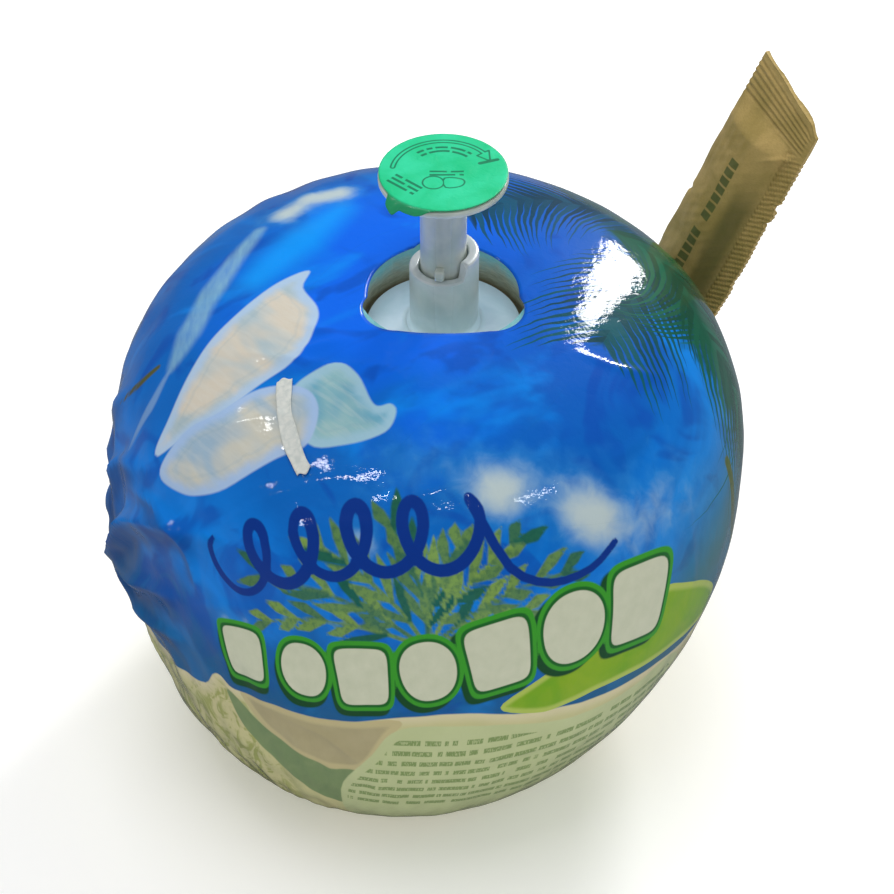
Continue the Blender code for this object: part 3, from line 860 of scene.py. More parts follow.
# Palm fronds: root, middle and tip of the rib, leaflet length, pitch, sweep and droop.
FRONDS = [
    (((46, 28), (29, 31), (9, 21)), 15, 1.9, 0.75, 0.012, (8, 62, 84)),
    (((52, 20), (43, 6), (33, -14)), 17, 2.1, 0.85, 0.012, (4, 66, 72)),
    (((38, 22), (51, 13), (56, -3)), 22, 2.2, 1.1, 0.015, (12, 78, 58)),
    (((52, 6), (64, -7), (80, -14)), 20, 2.3, 0.9, 0.012, (12, 80, 58)),
    (((48, 26), (68, 22), (88, 4)), 20, 2.2, 0.8, 0.012, (20, 96, 52)),
    (((40, 32), (58, 44), (78, 44)), 20, 2.2, 0.8, 0.012, (14, 82, 60)),
    (((36, 34), (34, 54), (44, 72)), 20, 2.3, 0.8, 0.012, (10, 74, 70)),
    (((-60, 60), (-40, 68), (-16, 62)), 18, 2.2, 0.8, 0.012, (10, 74, 70)),
    (((-62, 62), (-66, 78), (-52, 94)), 18, 2.2, 0.8, 0.012, (14, 82, 60)),
]
TEXT_TOP = 102.0
TEXT_PITCH = 4.0


def film_paint():
    paint = Paint("film_print")
    where = paint.vector("sheet")
    x, y, _ = paint.split(where)
    reach = paint.root(x * x + y * y)
    drift = paint.noise(where, 0.035, 3.0, 1.2)
    fine = paint.noise(where, 0.25, 5.0, 0.4)

    # Sky: deep by the window, darker to the right of it, azure lower down, teal near the sea. The
    # darker, greyer tones low down and on the right flank are partly print and partly painted
    # shade.
    low = reach + paint.scaled(drift, 44.0, -22.0)
    colour = paint.mix(paint.ramp(low, 18.0, 48.0), ink(0, 104, 238), ink(0, 104, 196))
    colour = paint.mix(paint.ramp(low, 48.0, 74.0), colour, ink(0, 126, 226))
    colour = paint.mix(paint.ramp(low, 70.0, 96.0), colour, ink(0, 96, 172))
    side = x + drift * 20.0
    shade = paint.ramp(side, 12.0, 34.0) * paint.ramp(low, 58.0, 34.0)
    colour = paint.mix(shade * 0.7, colour, ink(0, 88, 182))
    dark = paint.ramp(paint.noise(where, 0.05, 2.0, 2.0), 0.52, 0.66)
    colour = paint.mix(dark * 0.6, colour, ink(0, 74, 178))
    bright = paint.ramp(paint.noise(where, 0.03, 3.0, 1.5), 0.52, 0.7)
    colour = paint.mix(bright * 0.6, colour, ink(0, 148, 250))
    # Partly painted shade: greyer on the right flank and darker near the sea edge.
    haze = paint.ramp(x, 40.0, 74.0) * paint.ramp(reach, 44.0, 84.0)
    colour = paint.mix(haze * 0.75, colour, ink(60, 124, 112))
    sea_and_shade = paint.ramp(reach, 86.0, 104.0)
    colour = paint.mix(sea_and_shade * 0.7, colour, ink(0, 92, 140))
    colour = paint.mix(paint.ramp(paint.value("azure"), 4.0, -3.0, 0.0, 0.85), colour,
                       ink(0, 156, 255))

    # Clouds.
    wisps = paint.scaled(fine, 0.9, -0.35)
    cover = paint.value("clouds") + wisps
    colour = paint.mix(paint.ramp(cover, 0.2, 1.1, 0.0, 0.6), colour, ink(64, 160, 226))
    puffs = paint.value("clouds") + paint.scaled(fine, 0.5, -0.25)
    colour = paint.mix(paint.ramp(puffs, 0.45, 1.2, 0.0, 0.85), colour, ink(206, 218, 210))

    # Leaf streaks on the left.
    grain = paint.noise(paint.join(x * 0.35, y * 0.08), 2.0, 3.0)
    streak = paint.ramp(paint.value("streak"), 0.8, -1.5) * paint.scaled(grain, 0.7, 0.2)
    colour = paint.mix(streak, colour, ink(150, 200, 215))
    colour = paint.mix(paint.within(paint.value("blade"), 0.5) * 0.7, colour, ink(130, 170, 215))
    colour = paint.mix(paint.within(paint.value("twig"), 0.3), colour, ink(88, 92, 52))

    # Palm fronds over their own shade.
    shade_edge = paint.value("palm_shade") + paint.scaled(fine, 14.0, -7.0)
    colour = paint.mix(paint.ramp(shade_edge, 2.0, -4.0, 0.0, 0.85), colour,
                       paint.mix(fine, ink(2, 58, 62), ink(8, 84, 92)))
    for rib, length, pitch, sweep, droop, tone in FRONDS:
        leaf, luck = frond(paint, where, rib, length, pitch, sweep, droop)
        lighter = tuple(min(255, part * 1.35 + 6) for part in tone)
        leaf_colour = paint.mix(paint.ramp(luck, 0.2, 1.0, 0.0, 0.8), ink(*tone), ink(*lighter))
        colour = paint.mix(leaf * 0.97, colour, leaf_colour)
    bark = paint.noise(where, 0.9, 3.0)
    colour = paint.mix(paint.within(paint.value("trunk"), 0.3), colour,
                       paint.mix(bark, ink(110, 120, 40), ink(60, 90, 40)))

    # Slices of coconut meat: pale edge, warm middle, soft grey-blue folds.
    strands = paint.noise(paint.join(x + y, (x - y) * 0.5), 0.07, 2.0, 0.6)
    ridges = paint.noise(paint.join(x + y, (x - y) * 0.15), 0.7, 3.0, 0.4)
    for name, warm, shade, rim in (
            ("slice_big", ink(214, 206, 190), ink(172, 192, 200), ink(176, 204, 234)),
            ("slice_fan", ink(150, 192, 196), ink(104, 168, 194), ink(160, 200, 220)),
            ("slice_roll", ink(206, 204, 190), ink(156, 184, 206), ink(166, 196, 236))):
        depth = paint.value(name)
        body = paint.mix(paint.ramp(strands, 0.36, 0.6), shade, warm)
        body = paint.mix(paint.ramp(ridges, 0.4, 0.66, 0.0, 0.16), body, ink(222, 226, 222))
        edge_wave = depth + paint.scaled(fine, 2.4, -1.2)
        body = paint.mix(paint.ramp(edge_wave, -3.0, -0.6, 0.0, 0.9), body, rim)
        line = paint.ramp(abs(edge_wave + 3.4), 0.5, 0.1)
        body = paint.mix(line * 0.12, body, ink(120, 160, 184))
        colour = paint.mix(paint.within(depth, 0.3), colour, body)

    # Fan of leaves, the decorative line, then the lime form.
    green = paint.mix(paint.value("leaf_tone"), ink(24, 98, 44), ink(136, 170, 44))
    green = paint.mix(paint.ramp(paint.noise(where, 0.9, 2.0), 0.4, 0.7, 0.0, 0.4), green,
                      ink(20, 80, 40))
    colour = paint.mix(paint.ramp(paint.value("leaves"), 0.35, -0.25, 0.0, 0.9), colour, green)
    colour = paint.mix(paint.within(paint.value("flourish"), 0.2), colour, ink(0, 52, 142))
    lime = paint.value("lime")
    meadow = paint.mix(paint.noise(where, 0.08, 4.0, 1.0), ink(98, 168, 10), ink(158, 186, 34))
    meadow = paint.mix(paint.ramp(lime, -2.2, -0.8), meadow, ink(180, 200, 90))
    colour = paint.mix(paint.within(lime), colour, meadow)

    # Below the sea edge: cream ground, shell half, green rind, text panel.
    edge = paint.value("sea_edge")
    below = paint.ramp(edge, -0.3, 0.3)
    ground = paint.mix(paint.noise(where, 0.06, 4.0, 0.8), ink(214, 204, 152), ink(196, 198, 142))
    mottle = paint.noise(where, 0.16, 4.0, 1.5)
    left = paint.ramp(x, -52.0, -70.0) * paint.ramp(mottle, 0.44, 0.6)
    ground = paint.mix(left * 0.75, ground, ink(150, 160, 70))
    ground = paint.mix(paint.ramp(edge, 4.0, 0.5, 0.0, 0.7), ground, ink(226, 216, 178))
    shell = paint.value("shell")
    flesh = paint.mix(paint.noise(where, 0.12, 3.0), ink(190, 178, 138), ink(170, 160, 120))
    flesh = paint.mix(paint.ramp(shell, -3.0, -1.6), flesh, ink(200, 188, 140))
    ground = paint.mix(paint.within(shell, 0.3), ground, flesh)
    rind = paint.mix(paint.noise(where, 0.15, 4.0, 1.0), ink(112, 140, 92), ink(140, 158, 108))
    ground = paint.mix(paint.within(paint.value("olive"), 0.4), ground, rind)

    # Rows of plain bars in place of small print.
    panel = paint.within(paint.value("panel"), 0.4)
    ground = paint.mix(panel, ground, paint.mix(paint.noise(where, 0.05, 2.0), ink(204, 212, 162),
                                                ink(188, 198, 144)))
    row = (reach - TEXT_TOP) / TEXT_PITCH
    line = paint.floor(row)
    azimuth = paint.math("ARCTAN2", y, x)
    run = paint.join(azimuth * 46.0, line * 7.3)
    word = paint.ramp(paint.noise(run, 1.0, 0.0), 0.38, 0.42)
    letters = paint.join(azimuth * 240.0, row * 3.0)
    letter = paint.ramp(paint.noise(letters, 1.0, 1.0), 0.36, 0.5, 0.35, 1.0)
    bar = abs(paint.fract(row) - 0.5)
    bar = paint.ramp(bar, 0.27, 0.19) * (word * letter)
    deep = paint.ramp(paint.value("panel"), -3.2, -3.6)
    written = bar * (deep * paint.ramp(line, 8.6, 8.4))
    ground = paint.mix(written * 0.8, ground, ink(112, 142, 72))
    colour = paint.mix(below, colour, ground)
    colour = paint.mix(paint.within(lime), colour, meadow)

    # Raised-looking blocks with their outline and drop shadow.
    blocks = paint.value("blocks")
    colour = paint.mix(paint.within(paint.value("block_shadow"), 0.3, 1.7), colour,
                       ink(14, 78, 36))
    colour = paint.mix(paint.within(blocks, 0.2, 1.7), colour, ink(58, 160, 40))
    colour = paint.mix(paint.within(blocks, 0.2, 0.7), colour, ink(24, 104, 36))
    pale = paint.mix(paint.noise(where, 0.3, 3.0), ink(218, 220, 196), ink(198, 204, 176))
    colour = paint.mix(paint.within(blocks), colour, pale)

    # Painted shade under the steep side of the gathered folds: darker blue there.
    fold_shade_blue = paint.mix(fine, ink(0, 40, 120), ink(0, 70, 130))
    colour = paint.mix(paint.value("fold_shadow") * 0.7, colour, fold_shade_blue)

    paint.set(Base_Color=colour, Roughness=0.45, IOR=1.4, Specular_IOR_Level=0.08,
              Coat_Weight=1.0, Coat_Roughness=0.03, Coat_IOR=1.4)
    skin_grain = paint.noise(where, 0.45, 3.0, 0.6) + paint.noise(where, 1.6, 2.0) * 0.25
    made = paint.bump(skin_grain, 0.16, 0.0004)
    paint.put(paint.shader.inputs["Coat Normal"], made.outputs[0])
    return paint


# --- Opener -------------------------------------------------------------------------------

WELL_FLOOR = TOP - 12.0
SOCKET_BOTTOM = WELL_FLOOR + 0.35
FLANGE = 14.8
FLANGE_EDGE = SOCKET_BOTTOM + 1.5
COLLAR = 6.4
COLLAR_BORE = 4.7
RIM = SOCKET_BOTTOM + 15.8
STOP_RISE = 3.4
STOP_START = math.radians(-55)
STOP_SWEEP = math.radians(165)
STEM = 4.3
STEM_BORE = 3.4
DISC = 11.8
DISC_TOP = TOP + 24.8
DISC_UNDER = DISC_TOP - 1.4
LABEL_BOTTOM = DISC_TOP + 0.35
LABEL = 11.35
LABEL_GAP = 0.2
LABEL_THICKNESS = 0.12
LUG_ANGLE = math.radians(-98)
LUG_HALF = np.array([1.15, 0.9, 1.1])
LUG_PLACE = np.array([STEM + 0.55, 0, RIM + 0.35 + 1.1])
ROUND_STEPS = 144


def turned(name, profile, heights=None):
    """Rings of points round the opener's axis; heights may change a point with its angle."""
    angles = np.linspace(0, 2 * math.pi, ROUND_STEPS, endpoint=False)
    rings = []
    for index, (radius, z) in enumerate(profile):
        r, h = np.full(ROUND_STEPS, float(radius)), np.full(ROUND_STEPS, float(z))
        if heights:
            r, h = heights(index, r, h, angles)
        rings.append(np.stack([r * np.cos(angles) + OPENER.x, r * np.sin(angles), h], 1))
    points = np.concatenate(rings)
    rows = len(profile)
    faces = grid_faces(rows, ROUND_STEPS, wrap=True)
    faces += [((rows - 1) * ROUND_STEPS + i, i, (i + 1) % ROUND_STEPS,
               (rows - 1) * ROUND_STEPS + (i + 1) % ROUND_STEPS) for i in range(ROUND_STEPS)]
    return new_mesh(name, points, faces)


def arc_points(centre, radius, start, end, steps=5):
    turn = np.radians(np.linspace(start, end, steps))
    return [(centre[0] + radius * math.cos(t), centre[1] + radius * math.sin(t)) for t in turn]


def stop_share(angles):
    """1 along the raised stop, falling off over its rounded ends."""
    middle = STOP_START + STOP_SWEEP / 2
    apart = np.abs(np.angle(np.exp(1j * (angles - middle))))
    return 1 - smoothstep(STOP_SWEEP / 2 - 0.16, STOP_SWEEP / 2, apart)


def build_socket():
    profile = []
    dome = [(FLANGE - share * (FLANGE - COLLAR - 0.8),
             FLANGE_EDGE + 0.8 * math.sin(math.pi / 2 * share)) for share in np.linspace(0, 1, 9)]
    profile += arc_points((FLANGE - 0.4, FLANGE_EDGE - 0.4), 0.4, -30, 90)
    profile += dome[1:]
    profile += arc_points((COLLAR + 0.8, FLANGE_EDGE + 1.6), 0.8, 270, 180, 6)
    wall_from = len(profile)
    base = FLANGE_EDGE + 1.6
    profile += [(COLLAR, base + (RIM - 0.5 - base) * share) for share in np.linspace(0.1, 1, 12)]
    rim_from = len(profile)
    profile += arc_points((COLLAR - 0.4, RIM - 0.4), 0.4, 0, 90)
    profile += arc_points((COLLAR_BORE + 0.25, RIM - 0.25), 0.25, 90, 180)
    rim_to = len(profile)
    profile += [(COLLAR_BORE, RIM - 4), (COLLAR_BORE, SOCKET_BOTTOM), (FLANGE, SOCKET_BOTTOM)]

    def heights(index, radius, z, angles):
        stop = stop_share(angles)
        if wall_from <= index < rim_from:
            share = (index - wall_from) / (rim_from - wall_from)
            z = z + STOP_RISE * stop * share ** 3
        if rim_from <= index < rim_to:
            z = z + STOP_RISE * stop
        if wall_from <= index < rim_from + 3:
            radius = radius + 0.22 * stop
        return radius, z

    socket = turned("socket", profile, heights)
    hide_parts("opener_socket")
    return socket


def build_plunger():
    profile = [(STEM_BORE, SOCKET_BOTTOM + 0.35), (STEM, SOCKET_BOTTOM + 0.35)]
    profile += [(STEM, z) for z in np.linspace(SOCKET_BOTTOM + 4, DISC_UNDER - 0.9, 9)]
    profile += arc_points((STEM + 0.9, DISC_UNDER - 0.9), 0.9, 180, 90, 5)
    profile += [(DISC - 3.2, DISC_UNDER), (DISC - 2.6, DISC_UNDER - 0.12)]
    profile += arc_points((DISC - 0.5, DISC_UNDER + 0.5), 0.5, -90, 0, 5)
    profile += arc_points((DISC - 0.4, DISC_TOP - 0.4), 0.4, 0, 90, 5)
    profile += [(DISC - 1.2, DISC_TOP), (STEM_BORE + 0.4, DISC_TOP), (STEM_BORE, DISC_TOP - 0.4)]
    plunger = turned("plunger", profile)
    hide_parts("opener_plunger")
    return plunger


def build_lug():
    """The lug on the stem, a block whose edges are all round."""
    steps = 16
    points = []
    for i in range(steps + 1):
        tilt = math.pi * (i / steps - 0.5)
        for j in range(2 * steps):
            turn = math.pi * j / steps
            way = np.array([math.cos(tilt) * math.cos(turn), math.cos(tilt) * math.sin(turn),
                            math.sin(tilt)])
            way = np.sign(way) * np.abs(way) ** 0.45
            points.append(way * LUG_HALF)
    faces = grid_faces(steps + 1, 2 * steps, wrap=True)
    points = np.array(points) + LUG_PLACE
    c, s = math.cos(LUG_ANGLE), math.sin(LUG_ANGLE)
    spun = np.stack([points[:, 0] * c - points[:, 1] * s + OPENER.x,
                     points[:, 0] * s + points[:, 1] * c, points[:, 2]], 1)
    return new_mesh("plunger_lug", spun, faces)


def build_label():
    """Thin label: flat on the disc, with its lower left edge drawn over the rim and a tab."""
    columns = 240
    angles = np.linspace(0, 2 * math.pi, columns, endpoint=False)
    fold_over = np.exp(-((np.degrees(angles) - 238) / 20) ** 4)
    tab = np.exp(-((np.degrees(angles) - 222) / 7) ** 6)
    face = LABEL_BOTTOM + LABEL_GAP
    rows = []
    for share in np.linspace(0, 1, 50)[1:]:
        rows.append((LABEL * share + angles * 0, face + angles * 0, angles * 0))
    for share in np.linspace(0, 1, 12)[1:]:
        over = fold_over * share
        radius = LABEL + 0.3 * share + 0.9 * over - 0.25 * over ** 2 + 1.1 * tab * share
        z = face - 0.04 * share - 1.5 * over ** 2 - 1.2 * tab * share ** 2
        rows.append((radius, z, fold_over * share))
    points = [[0, 0, face]]
    for radius, z, _ in rows:
        x, y = radius * np.cos(angles), radius * np.sin(angles)
        lift = waves(x, y, 5, 0.035, 8, SEED + 5) * smoothstep(9, 3, radius)
        points += np.stack([x, y, z + lift], 1).tolist()
    count = len(points)
    faces = [(0, 1 + i, 1 + (i + 1) % columns) for i in range(columns)]
    faces += [tuple(1 + v for v in quad) for quad in grid_faces(len(rows), columns, wrap=True)]
    points = np.array(points)
    under = points - np.array([0, 0, LABEL_THICKNESS])
    lower = [tuple(count + v for v in reversed(each)) for each in faces]
    first = 1 + (len(rows) - 1) * columns
    edge = [(first + i, count + first + i, count + first + (i + 1) % columns,
             first + (i + 1) % columns) for i in range(columns)]
    both = np.concatenate([points, under]) + np.array([OPENER.x, OPENER.y, 0])
    label = new_mesh("label", both, [tuple(reversed(f)) for f in faces + lower + edge])
    flat_xy = np.concatenate([points[:, :2], under[:, :2]])
    keep_sheet(label, flat_xy)
    keep_values(label, "arrow", arrow(flat_xy))
    keep_values(label, "hand", pictogram(flat_xy))
    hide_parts("opener_sticker")
    return label


def arrow(places):
    """Signed distance to a curved arrow that runs over the top to the right."""
    radius = 9.2
    line = [radius * toward(t) for t in np.radians(np.linspace(172, 38, 24))]
    body = stroke(places, line, [0.38, 0.38], smooth=False)
    tip = math.radians(20)
    end = math.radians(38)
    out = toward(end)
    point = toward(tip) * (radius - 0.2)
    head = np.array([out * (radius + 1.3), point, out * (radius - 1.5)])
    bar = stroke(places, [toward(tip) * 7.0, toward(tip) * 10.4], [0.22, 0.22], smooth=False)
    return np.minimum(np.minimum(body, outline(places, head)), bar)


def pictogram(places):
    """Signed distance to a rounded grip shape: a round end and a box beside it."""
    ring = np.hypot(places[:, 0] + 1.8, places[:, 1] + 3.4) - 1.9
    box = shape(places, [(0.2, -2.1), (3.2, -2.3), (3.8, -3.4), (2.9, -4.6), (0.4, -4.8)], 3)
    return np.minimum(ring, box)


def plastic_paint(name, tint, haze):
    paint = Paint(name)
    where = paint.place()
    x, y, z = paint.split(where)
    cloudy = paint.noise(where, 180.0, 4.0, 0.6)
    streaks = paint.noise(paint.join(x * 900.0, y * 900.0, z * 60.0), 1.0, 3.0)
    tone = paint.mix(paint.ramp(cloudy, 0.3, 0.7), ink(*tint), ink(*haze))
    paint.set(Base_Color=tone, IOR=1.49, Roughness=paint.ramp(streaks, 0.2, 0.8, 0.3, 0.4),
              Subsurface_Weight=0.35, Subsurface_Scale=0.003,
              Transmission_Weight=0.18, Coat_Weight=0.2, Coat_Roughness=0.1)
    paint.put(paint.shader.inputs["Subsurface Radius"], (1.0, 1.0, 0.9))
    paint.bump(cloudy, 0.08, 0.0002)
    return paint


def label_paint():
    paint = Paint("green_label")
    where = paint.vector("sheet")
    x, y, _ = paint.split(where)
    reach = paint.root(x * x + y * y)
    azimuth = paint.math("ARCTAN2", y, x)
    patch = paint.noise(where, 0.12, 3.0, 0.6)
    colour = paint.mix(paint.ramp(patch, 0.3, 0.7), ink(8, 206, 138), ink(44, 224, 166))
    outline = paint.ramp(abs(paint.value("arrow")), 0.2, 0.12)
    shape_line = paint.ramp(abs(paint.value("hand")), 0.2, 0.12)
    marks = paint.larger(outline, shape_line)

    # Two curved rows of bars under the arrow.
    row = (reach - 5.6) / 1.15
    bar = abs(paint.fract(row) - 0.5)
    luck = paint.chance(paint.join(paint.floor(azimuth * 13.0), paint.floor(row)))
    top = paint.ramp(azimuth, 0.78, 0.82) * paint.ramp(azimuth, 2.3, 2.26)
    top = top * (paint.ramp(row, 0.0, 0.01) * paint.ramp(row, 2.0, 1.99))
    top = top * paint.ramp(luck, 0.16, 0.2)
    marks = paint.larger(marks, paint.ramp(bar, 0.27, 0.21) * top)

    # Straight rows of bars by the grip shape and along the lower left edge.
    for turn, middle, half, rows in ((0.0, (0.6, -0.6), (3.1, 1.0), 2),
                                     (-0.72, (-6.9, -3.9), (3.2, 1.7), 3)):
        c, s = math.cos(turn), math.sin(turn)
        dx = x - middle[0]
        dy = y - middle[1]
        along = dx * c + dy * s
        aside = dy * c - dx * s
        step = paint.scaled(aside, rows / (2 * half[1]), rows / 2)
        bar = abs(paint.fract(step) - 0.5)
        luck = paint.chance(paint.join(paint.floor(along * 1.3), paint.floor(step)))
        box = (paint.ramp(abs(along), half[0], half[0] - 0.05)
                * paint.ramp(abs(aside), half[1], half[1] - 0.05))
        box = box * paint.ramp(luck, 0.14, 0.18)
        marks = paint.larger(marks, paint.ramp(bar, 0.28, 0.2) * box)
    colour = paint.mix(marks * 0.85, colour, ink(6, 110, 78))
    colour = paint.mix(paint.ramp(reach, 11.3, 11.9, 0.0, 0.7), colour, ink(16, 120, 66))
    paint.set(Base_Color=colour, Roughness=0.38, IOR=1.48, Coat_Weight=0.45, Coat_Roughness=0.12)
    paint.bump(paint.noise(where, 0.5, 4.0, 0.8), 0.25, 0.0004)
    return paint


# --- Sachet, straw, tape ------------------------------------------------------------------

def sachet_lines():
    """Columns across the sachet and rows along it, denser where it shows."""
    hidden = np.linspace(-SACHET_TUCK, 0, 36, endpoint=False)
    shown = np.linspace(0, SACHET_TOP, 330)
    return np.linspace(-SACHET_SIDE, SACHET_SIDE, 92), np.concatenate([hidden, shown])


def sachet_side(x, z, sign):
    """Height of one face of the sachet, with crimps, embossed seal and creases."""
    top, right = SACHET_TOP, SACHET_SIDE
    rise = (SEAM_SLIT / 2 + PAPER) * np.ones_like(x) + bulge(x, z)
    from_top = top - z
    crimp = smoothstep(9.2, 8.2, from_top) * smoothstep(0.9, 1.8, from_top)
    crimp = crimp * smoothstep(right - 0.6, right - 2.2, x)
    ridges = 0.2 * np.cos(2 * np.pi * from_top / 1.25) * crimp
    seal = smoothstep(right - SIDE_SEAL - 0.6, right - SIDE_SEAL + 0.2, x)
    seal = seal * smoothstep(8.5, 10.5, from_top)
    dots = 0.26 * np.cos(2 * np.pi * x / 1.25) * np.cos(2 * np.pi * (z + 0.35 * x) / 1.3) * seal
    calm = 1 - np.maximum(crimp, seal)
    soft = waves(x, z * 0.5, 6.5, 0.22, 8, SEED + 8 + (sign > 0)) * calm
    fine = waves(x * 1.3, z, 2.6, 0.05, 8, SEED + 10) * calm
    # A pinched crease runs from the crimp's foot into the side seal.
    pinch = np.exp(-((x - 5.4) / 2.0) ** 2 - ((z - (top - 12.5) - 0.9 * (x - 5.4)) / 0.8) ** 2)
    hollow = np.exp(-((x - 4.2) / 1.7) ** 2) * smoothstep(top - 13, top - 22, z)
    return sign * (rise + ridges + dots + soft + fine + 0.9 * pinch - 0.35 * hollow * calm)


def build_sachet():
    across, along = sachet_lines()
    x, z = np.meshgrid(across, along)
    top, right = SACHET_TOP, SACHET_SIDE
    lean = smoothstep(top - 14, top, z)
    bites = (0.9 * np.exp(-((z - 57.5) / 0.9) ** 2) + 0.7 * np.exp(-((z - 52.8) / 0.7) ** 2)
             + 0.35 * np.exp(-((z - 36.0) / 1.6) ** 2))
    edge = 1 + (waves(z * 0 + 3, z, 9, 0.16, 6, SEED + 12) / right)
    nick = 0.5 * np.exp(-((z - 46.5) / 0.8) ** 2)
    inner = x * edge
    inner = inner - bites * smoothstep(right - 3, right, x)
    inner = inner + nick * smoothstep(3 - right, -right, x)
    corner = 1.2 * smoothstep(top - 4, top, z) * smoothstep(right - 3, right, x)
    height = z + lean * (-x / right) * 2.2 - corner
    front = np.stack([inner, sachet_side(x, z, 1.0), height], -1)
    back = np.stack([inner, sachet_side(x, z, -1.0), height], -1)
    # The whole packet bows and twists a little along its free length.
    for layer in (front, back):
        free = np.clip(layer[..., 2] / top, 0, 1)
        layer[..., 1] += 1.1 * free ** 2 + 0.5 * np.sin(4.5 * free) * layer[..., 0] / right * free
    rows, columns = x.shape
    points = np.concatenate([front.reshape(-1, 3), back.reshape(-1, 3)])
    count = rows * columns
    front_faces = grid_faces(rows, columns)
    back_faces = [tuple(count + v for v in reversed(face)) for face in front_faces]
    ring = list(range(columns))
    ring += [r * columns + columns - 1 for r in range(1, rows)]
    ring += [(rows - 1) * columns + i for i in range(columns - 2, -1, -1)]
    ring += [r * columns for r in range(rows - 2, 0, -1)]
    rim = [(a, count + a, count + b, b) for a, b in zip(ring, ring[1:] + ring[:1])]
    matrix = np.array(SACHET)
    world = points @ matrix[:3, :3].T + matrix[:3, 3]
    sachet = new_mesh("sachet", world, front_faces + back_faces + rim)
    plain = np.stack([x.ravel(), z.ravel()], 1)
    keep_sheet(sachet, np.concatenate([plain, plain]))
    keep_values(sachet, "front", np.concatenate([np.zeros(count), np.ones(count)]))
    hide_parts("straw_sachet")
    return sachet


def kraft_paint():
    paint = Paint("kraft_paper")
    where = paint.vector("sheet")
    x, z, _ = paint.split(where)
    cloud = paint.noise(where, 0.12, 4.0, 0.8)
    fibre = paint.noise(paint.join(x * 1.2, z * 6.0), 1.4, 5.0, 0.4)
    colour = paint.mix(paint.ramp(cloud, 0.3, 0.7), ink(172, 150, 84), ink(198, 170, 104))
    colour = paint.mix(paint.ramp(fibre, 0.35, 0.75, 0.0, 0.35), colour, ink(140, 118, 66))
    fleck = paint.ramp(paint.noise(where, 2.4, 2.0), 0.7, 0.76)
    colour = paint.mix(fleck * 0.45, colour, ink(104, 84, 48))
    # Painted shade: olive in the hollow beside the straw's bulge, and darker towards the end that
    # goes under the film.
    hollow = paint.ramp(abs(x - 3.6), 3.4, 0.8) * paint.ramp(z, 66.0, 48.0)
    colour = paint.mix(hollow * 0.75, colour, ink(92, 92, 44))
    colour = paint.mix(paint.ramp(z, 34.0, 4.0, 0.0, 0.35), colour, ink(128, 102, 48))

    # A plain leaf-shaped spot and bars along the packet in place of lettering.
    along = z * 0.42
    luck = paint.chance(paint.join(paint.floor(along), 5.0))
    tick = abs(paint.fract(along) - 0.5)
    bar = paint.ramp(tick, 0.4, 0.36) * paint.ramp(abs(x + 1.6), 1.15, 1.0)
    bar = bar * (paint.ramp(z, 31.0, 31.1) * paint.ramp(z, 62.1, 62.0))
    bar = bar * paint.ramp(luck, 0.12, 0.14)
    spot = ((x + 1.8) / 1.9) ** 2.0 + ((z - 26.5) / 2.2) ** 2.0
    bar = paint.larger(bar, paint.ramp(spot, 1.1, 0.9))
    bar = bar * paint.ramp(paint.value("front"), 0.4, 0.6)
    colour = paint.mix(bar * 0.75, colour, ink(58, 88, 40))
    paint.set(Base_Color=colour, Roughness=paint.ramp(fibre, 0.2, 0.8, 0.5, 0.75),
              Specular_IOR_Level=0.35)
    paint.bump(fibre + paint.noise(where, 3.0, 4.0), 0.3, 0.0003)
    return paint


TAPE_LENGTH = 19.0
TAPE_WIDTH = 2.7
TAPE_THICKNESS = 0.2
TAPE_GAP = 0.4
TAPE_START = Vector((-17.6, -34.5))


def build_tape():
    """A short bent strip with torn ends that lies on the film."""
    rows, columns = 70, 11
    heading, bend = math.radians(-77), math.radians(16)
    points, places = [], []
    for row in range(rows):
        share = row / (rows - 1) - 0.5
        for column in range(columns):
            side = column / (columns - 1) - 0.5
            torn = 0.4 * math.sin(7 * side + 2 * share) * abs(2 * share) ** 12
            along = share * TAPE_LENGTH + torn
            aside = side * (TAPE_WIDTH + 0.2 * math.sin(11 * share))
            angle = heading + bend * share
            x = TAPE_START.x + along * math.cos(angle) - aside * math.sin(angle)
            y = TAPE_START.y + along * math.sin(angle) + aside * math.cos(angle)
            z = TOP
            for _ in range(6):
                away = min(math.hypot(x - shift_at(z), y) / BELLY, 1.0)
                z = BELLY_Z + (TOP - BELLY_Z) * (1 - away ** CROWN_FULLNESS) ** (1 / CROWN_FULLNESS)
            azimuth = math.atan2(y, x - shift_at(z))
            point, normal, _, _ = skin_frame(azimuth, z)
            reach = float(np.interp(-z, -REACH_Z, REACH))
            sheet = np.array([[reach * math.cos(azimuth), reach * math.sin(azimuth)]])
            lift = max(float(wrinkles(sheet)[0]), 0.0) + TAPE_GAP
            lift += 0.12 * math.sin(6 * side + 14 * share)
            points.append(point + normal * lift)
            places.append((aside, along))
    tape = new_mesh("tape", [tuple(p) for p in points], grid_faces(rows, columns))
    keep_sheet(tape, np.array(places))
    shell = tape.modifiers.new("Thickness", "SOLIDIFY")
    shell.thickness = TAPE_THICKNESS * MM
    shell.offset = 1
    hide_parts("tape_strip")
    return tape


def tape_paint():
    paint = Paint("white_tape")
    where = paint.vector("sheet")
    fibre = paint.noise(where, 0.8, 5.0, 0.5)
    colour = paint.mix(paint.ramp(fibre, 0.3, 0.7), ink(200, 206, 202), ink(222, 224, 218))
    paint.set(Base_Color=colour, Roughness=0.72, Specular_IOR_Level=0.3)
    paint.bump(fibre, 0.12, 0.0002)
    return paint


